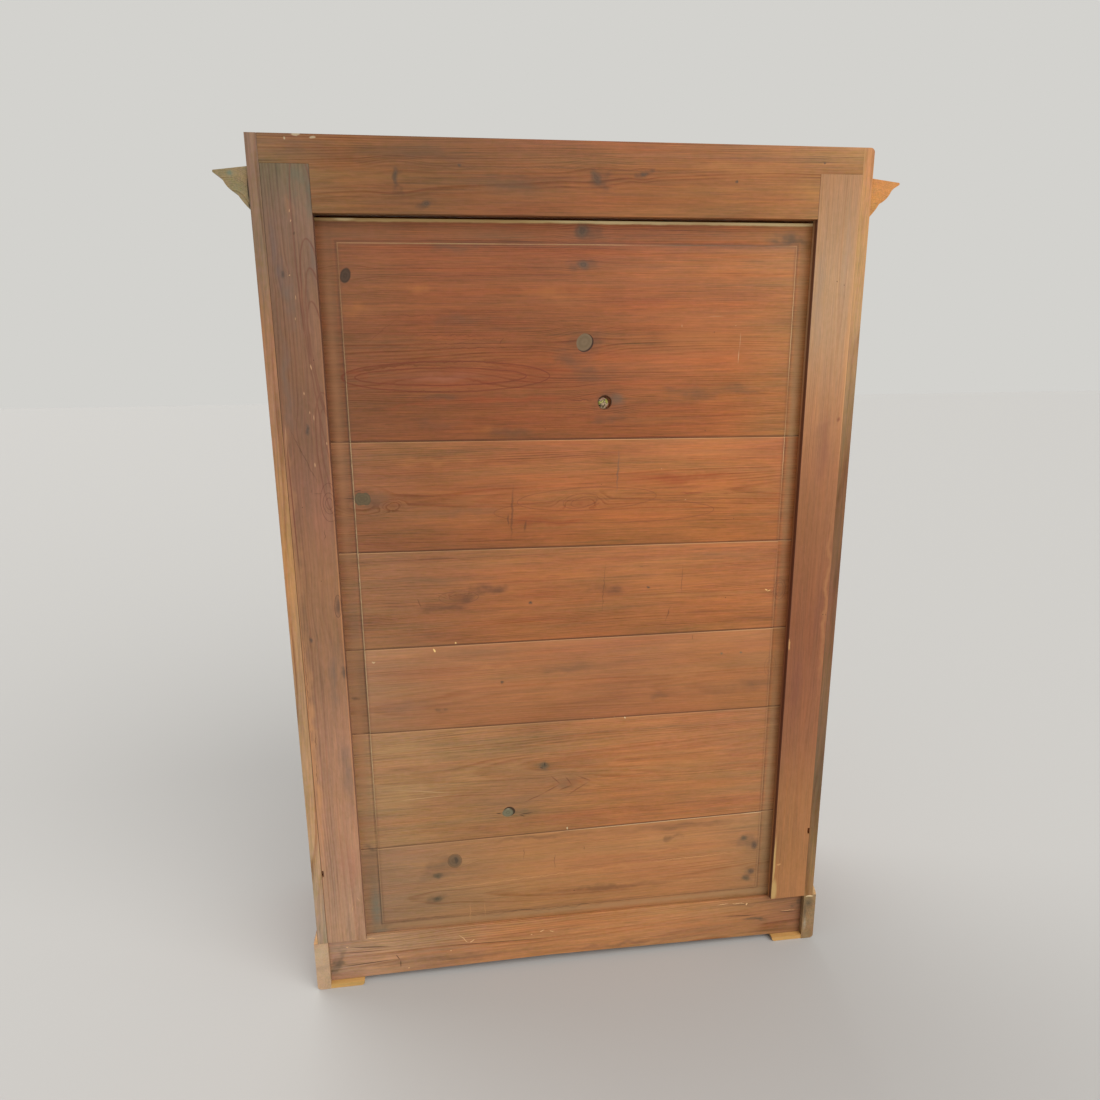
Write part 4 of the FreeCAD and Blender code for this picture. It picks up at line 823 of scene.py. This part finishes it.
# The front was polished and handled more than the back: calmer, smoother and a little warmer.
polished = {"contrast": 0.55, "roughness": (0.36, 0.52), "relief": 0.22}
knot = partial(marked, outline="edge", soft=(0.6, 1.1), strength=0.75, colour="5c3a26",
               second="472b1c", flow=0.55, reach=3.2)

# The side boards: the photo shows their rear edges. Their faces are finished like the front.
rightSidePine = pine("rightSidePine", grain="zSideways", pith=(60, -560),
    stops=shaded((150, 450, 750, 1050, 1350, 1500, 1650, 1800),
        "a08776 b08d69 a38063 af8256 9a745a 9b7153 816654 866957"))
leftSidePine = pine("leftSidePine", grain="zSideways", pith=(20, 560), shift=2000,
    stops=shaded((150, 300, 450, 600, 750, 900, 1050, 1200, 1350, 1500, 1650, 1800),
        "98724c 806241 6c563f 70553f 78573c 80563f 755339 7f593b 927354 b28a65 bc9164 ba875b"))
sideKnots = ((-90, 1420, 9, 13), (60, 1010, 12, 15), (-40, 560, 8, 11), (150, 300, 10, 12),
             (170, 1600, 7, 9), (-130, 860, 6, 8))
for side, rear, shift, across, pith in (
    ("right", rightSidePine, 2600, 0, 470),
    ("left", leftSidePine, 900, 40, -470),
):
    board = pine(
        side + "SideFacePine", grain="zSideways", shift=shift, pith=(across, pith), lean=1.6,
        ringWidth=4.6, marks=(knot(*((y + across, z + across, *size) for y, z, *size in sideKnots)),),
        **polished,
    )
    weathered("side_board_" + side, {"z": board, "rear": rear}, sideShape)

# Boards of the front that look cut from one length: their nodes, colour, grain and knots.
frontBoards = (
    dict(nodes=("right_door_hinge_stile", "right_door_meeting_stile"), grain="zFacing",
        pith=(300, -120), shift=1500, knots=((520, 1240, 7, 9), (30, 640, 6, 8), (512, 420, 5, 8))),
    dict(nodes=("left_door_hinge_stile", "left_door_meeting_stile"), grain="zFacing", pith=(-250, -95),
        shift=3300, knots=((-515, 1460, 6, 9), (-36, 1130, 7, 9), (-520, 560, 5, 6))),
    dict(nodes=("right_door_panel",), colour="a1683f", grain="zFacing", pith=(262, -60), lean=2.4,
        shift=4300, ringWidth=5.0, knots=((170, 330, 10, 13), (372, 250, 8, 10), (330, 420, 5, 6))),
    dict(nodes=("left_door_panel",), colour="9a6341", grain="zFacing", pith=(-300, -50), lean=-2.2,
        shift=5200, ringWidth=4.6, knots=((-180, 400, 9, 12), (-360, 300, 10, 13), (-250, 230, 5, 6))),
    dict(nodes=("front_stile_right", "front_stile_left"), colour="94603e", grain="zFacing",
        pith=(0, -40), shift=6100, knots=((578, 1320, 7, 10), (-574, 940, 8, 11), (580, 380, 6, 7))),
    dict(
        nodes=("right_door_top_rail", "right_door_middle_rail", "right_door_bottom_rail",
            "right_door_glazing_bars"), pith=(900, -120), shift=700,
        knots=((180, 1650, 9, 6), (330, 150, 10, 8))),
    dict(
        nodes=("left_door_top_rail", "left_door_middle_rail", "left_door_bottom_rail",
            "left_door_glazing_bars"), pith=(960, -110), shift=2100,
        knots=((-330, 1656, 8, 7), (-220, 520, 9, 7))),
    dict(nodes=("lintel", "sill"), colour="96603d", pith=(1000, 150), shift=3900),
    dict(nodes=("cornice_front",), colour="93603c", pith=(1820, -160), shift=5100,
        knots=((-210, 1752, 12, 8), (380, 1740, 9, 6))),
    dict(nodes=("plinth_front",), colour="8f5d3b", pith=(60, -60), lean=1.8, shift=6500,
        knots=((-340, 70, 13, 10), (240, 50, 10, 8), (480, 88, 7, 5))),
)

# The mouldings, the ends of the cornice and plinth, the boards inside and the pads.
stainX = pine("stainedPineLong", shift=700, pith=(1000, 150), lean=0.8, **polished)
stainZ = pine("stainedPineTall", grain="zFacing", shift=1500, pith=(300, -120), lean=0.7, **polished)
# The two cornice ends: besides the wood's own colour, the right end's grey holds painted shade and the
# left end's bright orange holds painted light.
corniceRight = pine(
    "rightCornicePine", grain="ySideways", shift=400, pith=(1700, 640),
    stops=shaded((-250, 222, 233, 240), "9a6440 8d6444 87785c 8c7c5e"),
    marks=(
        # The dark line at the end's inner edge is painted shade: it stands for the gap where the cornice
        # end stands off the side board.
        crack((605.6, 1748, 1.8, 24), (606.5, 1722, 1.0, 8), plane="XZ"),
        halo("5c7265", 0.7, (636, 1776, 9, 7), plane="XZ", outline="edge"),
    ),
)
corniceLeft = pine(
    "leftCornicePine", grain="ySideways", shift=1400, pith=(1700, -640),
    stops=shaded((-250, 222, 233, 240), "9a6440 a56e44 c1854b c58a4d"),
    # The dark line at the end's inner edge is painted shade for the gap beside the side board.
    marks=(crack((-605.4, 1745, 1.5, 28), plane="XZ"),),
)
plinthRight = pine(
    "rightPlinthPine", grain="ySideways", shift=3400, pith=(40, 560),
    stops=shaded((-250, 215, 240, 246), "9a6440 92674a b5987d ba9f88"),
    contrast=0.6,
    marks=(halo("8d7a68", 0.4, (243, 60, 30, 14)),),
)
plinthLeft = pine(
    "leftPlinthPine", grain="ySideways", shift=4400, pith=(30, -560),
    stops=shaded((-250, 215, 241, 248), "9a6440 8c6648 8c7152 917657"),
    marks=(
        halo("4a4334", 0.7, (-594, 102, 16, 24), (-586, 84, 6, 40), plane="XZ", outline="rough"),
        rubbed("a59a86", 0.6, (-588, 44, 5, 26), plane="XZ", outline="rough"),
        chip("d9bd92", (-596, 123, 11, 2.4), plane="XZ"),
    ),
)
stainY = pine("stainedPineDeep", grain="ySideways", shift=2500, pith=(700, 560), lean=0.6,
    stops=shaded((-250, 220, 236, 244), "9a6440 9a6440 c29a72 c8a27a"))
bareX = pine("barePineBoard", grain="xFlat", pith=(0, 900), stops=((-600, "c9a272"), (600, "c4996a")))
dustyX = pine("dustyPineBoard", grain="xFlat", pith=(0, 900), contrast=0.75,
    stops=((-600, "a88b68"), (600, "a48765")))
bareY = pine("barePineBatten", grain="ySideways", stops=((-600, "c9a272"), (600, "c4996a")))
padPine = pine("padPine", grain="xFlat", contrast=0.5, stops=((-600, "c99c62"), (600, "c1985f")))

for number, look in enumerate(frontBoards, 1):
    nodes = look.pop("nodes")
    colour = look.pop("colour", "9a6440")
    knots = look.pop("knots", ())
    board = pine(
        f"frontPine{number}", stops=((-1000, colour), (1000, colour)),
        marks=(knot(*knots),) if knots else (), **polished, **look,
    )
    for node in nodes:
        weathered(node, {"x": board}, doorShape if "door" in node else frameShape)
weathered("cornice_right", {"y": corniceRight}, frameShape)
weathered("cornice_left", {"y": corniceLeft}, frameShape)
weathered("plinth_right", {"y": plinthRight}, frameShape)
weathered("plinth_left", {"y": plinthLeft}, frameShape)
weathered("plinth_moulding", {"x": stainX, "y": stainY}, fineShape)
weathered("top_board", {"x": dustyX}, doorShape)
for node in ("bottom_board", "shelf_1", "shelf_2", "shelf_3"):
    weathered(node, {"x": bareX}, doorShape)
weathered("shelf_cleats", {"y": bareY}, doorShape)
for node in ("rear_pad_right", "rear_pad_left"):
    weathered(node, {"x": padPine}, doorShape)
for side in ("right", "left"):
    weathered(f"{side}_door_glazing_beads", {"x": stainX, "z": stainZ}, fineShape)
print("carcass and doors made")


# What the metals share: where in the noise the tarnish starts and is full, and where the
# roughness changes.
metalLook = {"tarnishes": (0.40, 0.62), "dulls": (0.35, 0.65)}


def metal(name, **look):
    # A metal with a skin of tarnish in patches and fine wear.
    material, add = newMaterial(name)
    here = add("TexCoord", out="Object")
    coarse = {"Vector": here, "Scale": 1 / (look["patchSize"] * mm), "Detail": 4.0, "Roughness": 0.62}
    patches = add("TexNoise", coarse)
    fine = {"Vector": here, "Scale": 1 / (look["wearSize"] * mm), "Detail": 3.0, "Roughness": 0.7}
    wear = add("TexNoise", fine)
    share = add("MapRange", (patches, *metalLook["tarnishes"], 0, 1), **smooth)
    colour = add("Mix", {0: share, 6: linear(look["bright"]), 7: linear(look["tarnish"])}, **blend)
    shine = add("MapRange", (patches, *metalLook["dulls"], *look["roughness"]))
    normal = add("Bump", {"Height": wear, "Strength": 0.5, "Distance": look["relief"] * mm})
    surface = {"Base Color": colour, "Metallic": 1.0, "Roughness": shine, "Normal": normal}
    add("OutputMaterial", {"Surface": add("BsdfPrincipled", surface)})
    return material


# Cast and rolled brass gone dull: warm yellow where hands rub it and brown where they don't.
agedBrass = metal(
    "agedBrass", bright="b9965c", tarnish="6c5636", patchSize=14, wearSize=1.2, relief=0.12,
    roughness=(0.28, 0.55),
)
# Forged and filed iron: dark grey, a little brighter where it slides.
darkIron = metal(
    "darkIron", bright="8a8884", tarnish="4d4844", patchSize=10, wearSize=0.9, relief=0.15,
    roughness=(0.35, 0.62),
)

# Drawn sheet glass of the time: clear, faintly green, and slightly wavy.
glassLook = {"tint": "f0f5f0", "waveSize": 90, "wave": 0.1, "roughness": 0.01, "ior": 1.52}
oldGlass, add = newMaterial("oldGlass")
here = add("TexCoord", out="Object")
wave = add("TexNoise", {"Vector": here, "Scale": 1 / (glassLook["waveSize"] * mm), "Detail": 1.0})
normal = add("Bump", {"Height": wave, "Strength": 0.5, "Distance": glassLook["wave"] * mm})
tint = linear(glassLook["tint"])
pane = {"Base Color": tint, "Roughness": glassLook["roughness"], "IOR": glassLook["ior"],
        "Transmission Weight": 1.0, "Normal": normal}
body = add("BsdfPrincipled", pane)
clear = add("BsdfTransparent", {"Color": tint})
shadow = add("LightPath", out="Is Shadow Ray")
lampRays = add("Math MAXIMUM", (shadow, shadow.node.outputs["Is Diffuse Ray"]))
add("OutputMaterial", {"Surface": add("MixShader", (lampRays, body, clear))})
for finish, nodes in (
    (agedBrass, ("frame_hinge_leaves", "right_door_hinge_leaves", "left_door_hinge_leaves",
                 "hinge_pins", "keyhole_plate")),
    (darkIron, ("lock_case", "lock_bolt", "key", "upper_slide_bolt", "lower_slide_bolt",
                "slide_bolt_plates")),
    (oldGlass, ("right_door_glass", "left_door_glass")),
):
    for node in nodes:
        slots = frame["nodes"][node].data.materials
        slots.clear()
        slots.append(finish)
print("metal and glass made")

# A plain pale studio floor, this many metres wide and millimetres below the feet, with patches
# at this scale of noise; the world shows the same pale tone behind it.
stageLook = {"floorSize": 40.0, "below": 0.3, "floor": ("bcbab6", "b8b6b2"), "patches": 0.8,
             "background": "d3d2ce", "ambient": 0.62, "ambientColour": "ffffff"}
floorWork = bmesh.new()
bmesh.ops.create_grid(floorWork, x_segments=1, y_segments=1, size=stageLook["floorSize"] / 2)
bmesh.ops.translate(floorWork, vec=(0, 0, -stageLook["below"] * mm), verts=floorWork.verts)
studioFloor = placed(floorWork, "studioFloor")
floorPaint, add = newMaterial("floorPaint")
tone = add("TexNoise", {"Scale": stageLook["patches"], "Detail": 2.0})
one, other = (linear(c) for c in stageLook["floor"])
tone = add("Mix", {0: tone, 6: one, 7: other}, **blend)
matt = add("BsdfPrincipled", {"Base Color": tone, "Roughness": 0.9, "Specular IOR Level": 0.1})
add("OutputMaterial", {"Surface": matt})
studioFloor.data.materials.append(floorPaint)

world = bpy.data.worlds.new("studioWorld")
bpy.context.scene.world = world
world.use_nodes = True
world.node_tree.nodes.clear()
add = partial(addNode, world.node_tree)
seen = add("LightPath", out="Is Camera Ray")
rays = seen.node.outputs
for kind in ("Is Glossy Ray", "Is Transmission Ray"):
    seen = add("Math MAXIMUM", (seen, rays[kind]))
ambientLight = {"Color": linear(stageLook["ambientColour"]), "Strength": stageLook["ambient"]}
ambient = add("Background", ambientLight)
shown = add("Background", {"Color": linear(stageLook["background"]), "Strength": 1.0})
add("OutputWorld", {"Surface": add("MixShader", (seen, ambient, shown))})

# Two broad, soft lamps far away: where they stand in metres, their apparent size in degrees
# and their strength in watts per square metre.
lamps = {
    "backLamp": {"place": (-3.0, 4.5, 4.0), "spread": 55, "strength": 1.95},
    "frontLamp": {"place": (3.0, -4.5, 4.0), "spread": 70, "strength": 1.6},
}
for name, look in lamps.items():
    light = bpy.data.lights.new(name, "SUN")
    light.angle = math.radians(look["spread"])
    light.energy = look["strength"]
    lamp = bpy.data.objects.new(name, light)
    bpy.context.scene.collection.objects.link(lamp)
    lamp.location = look["place"]
    lamp.rotation_euler = (-Vector(look["place"])).to_track_quat("-Z", "Y").to_euler()

# The photograph's viewpoint: a standing person close to the back, with a wide lens. The place
# is in metres and the turn in degrees.
cameraLook = {"place": (0.2757, 1.8979, 1.4716), "turn": (75.69, 0.417, 172.268), "lens": 26.535}
cameraData = bpy.data.cameras.new("camera")
cameraData.lens = cameraLook["lens"]
cameraData.sensor_width = 36
camera = bpy.data.objects.new("camera", cameraData)
bpy.context.scene.collection.objects.link(camera)
camera.location = cameraLook["place"]
camera.rotation_euler = [math.radians(a) for a in cameraLook["turn"]]
bpy.context.scene.camera = camera
bpy.context.scene.view_settings.view_transform = "Standard"

print("stage, lamps and camera made")
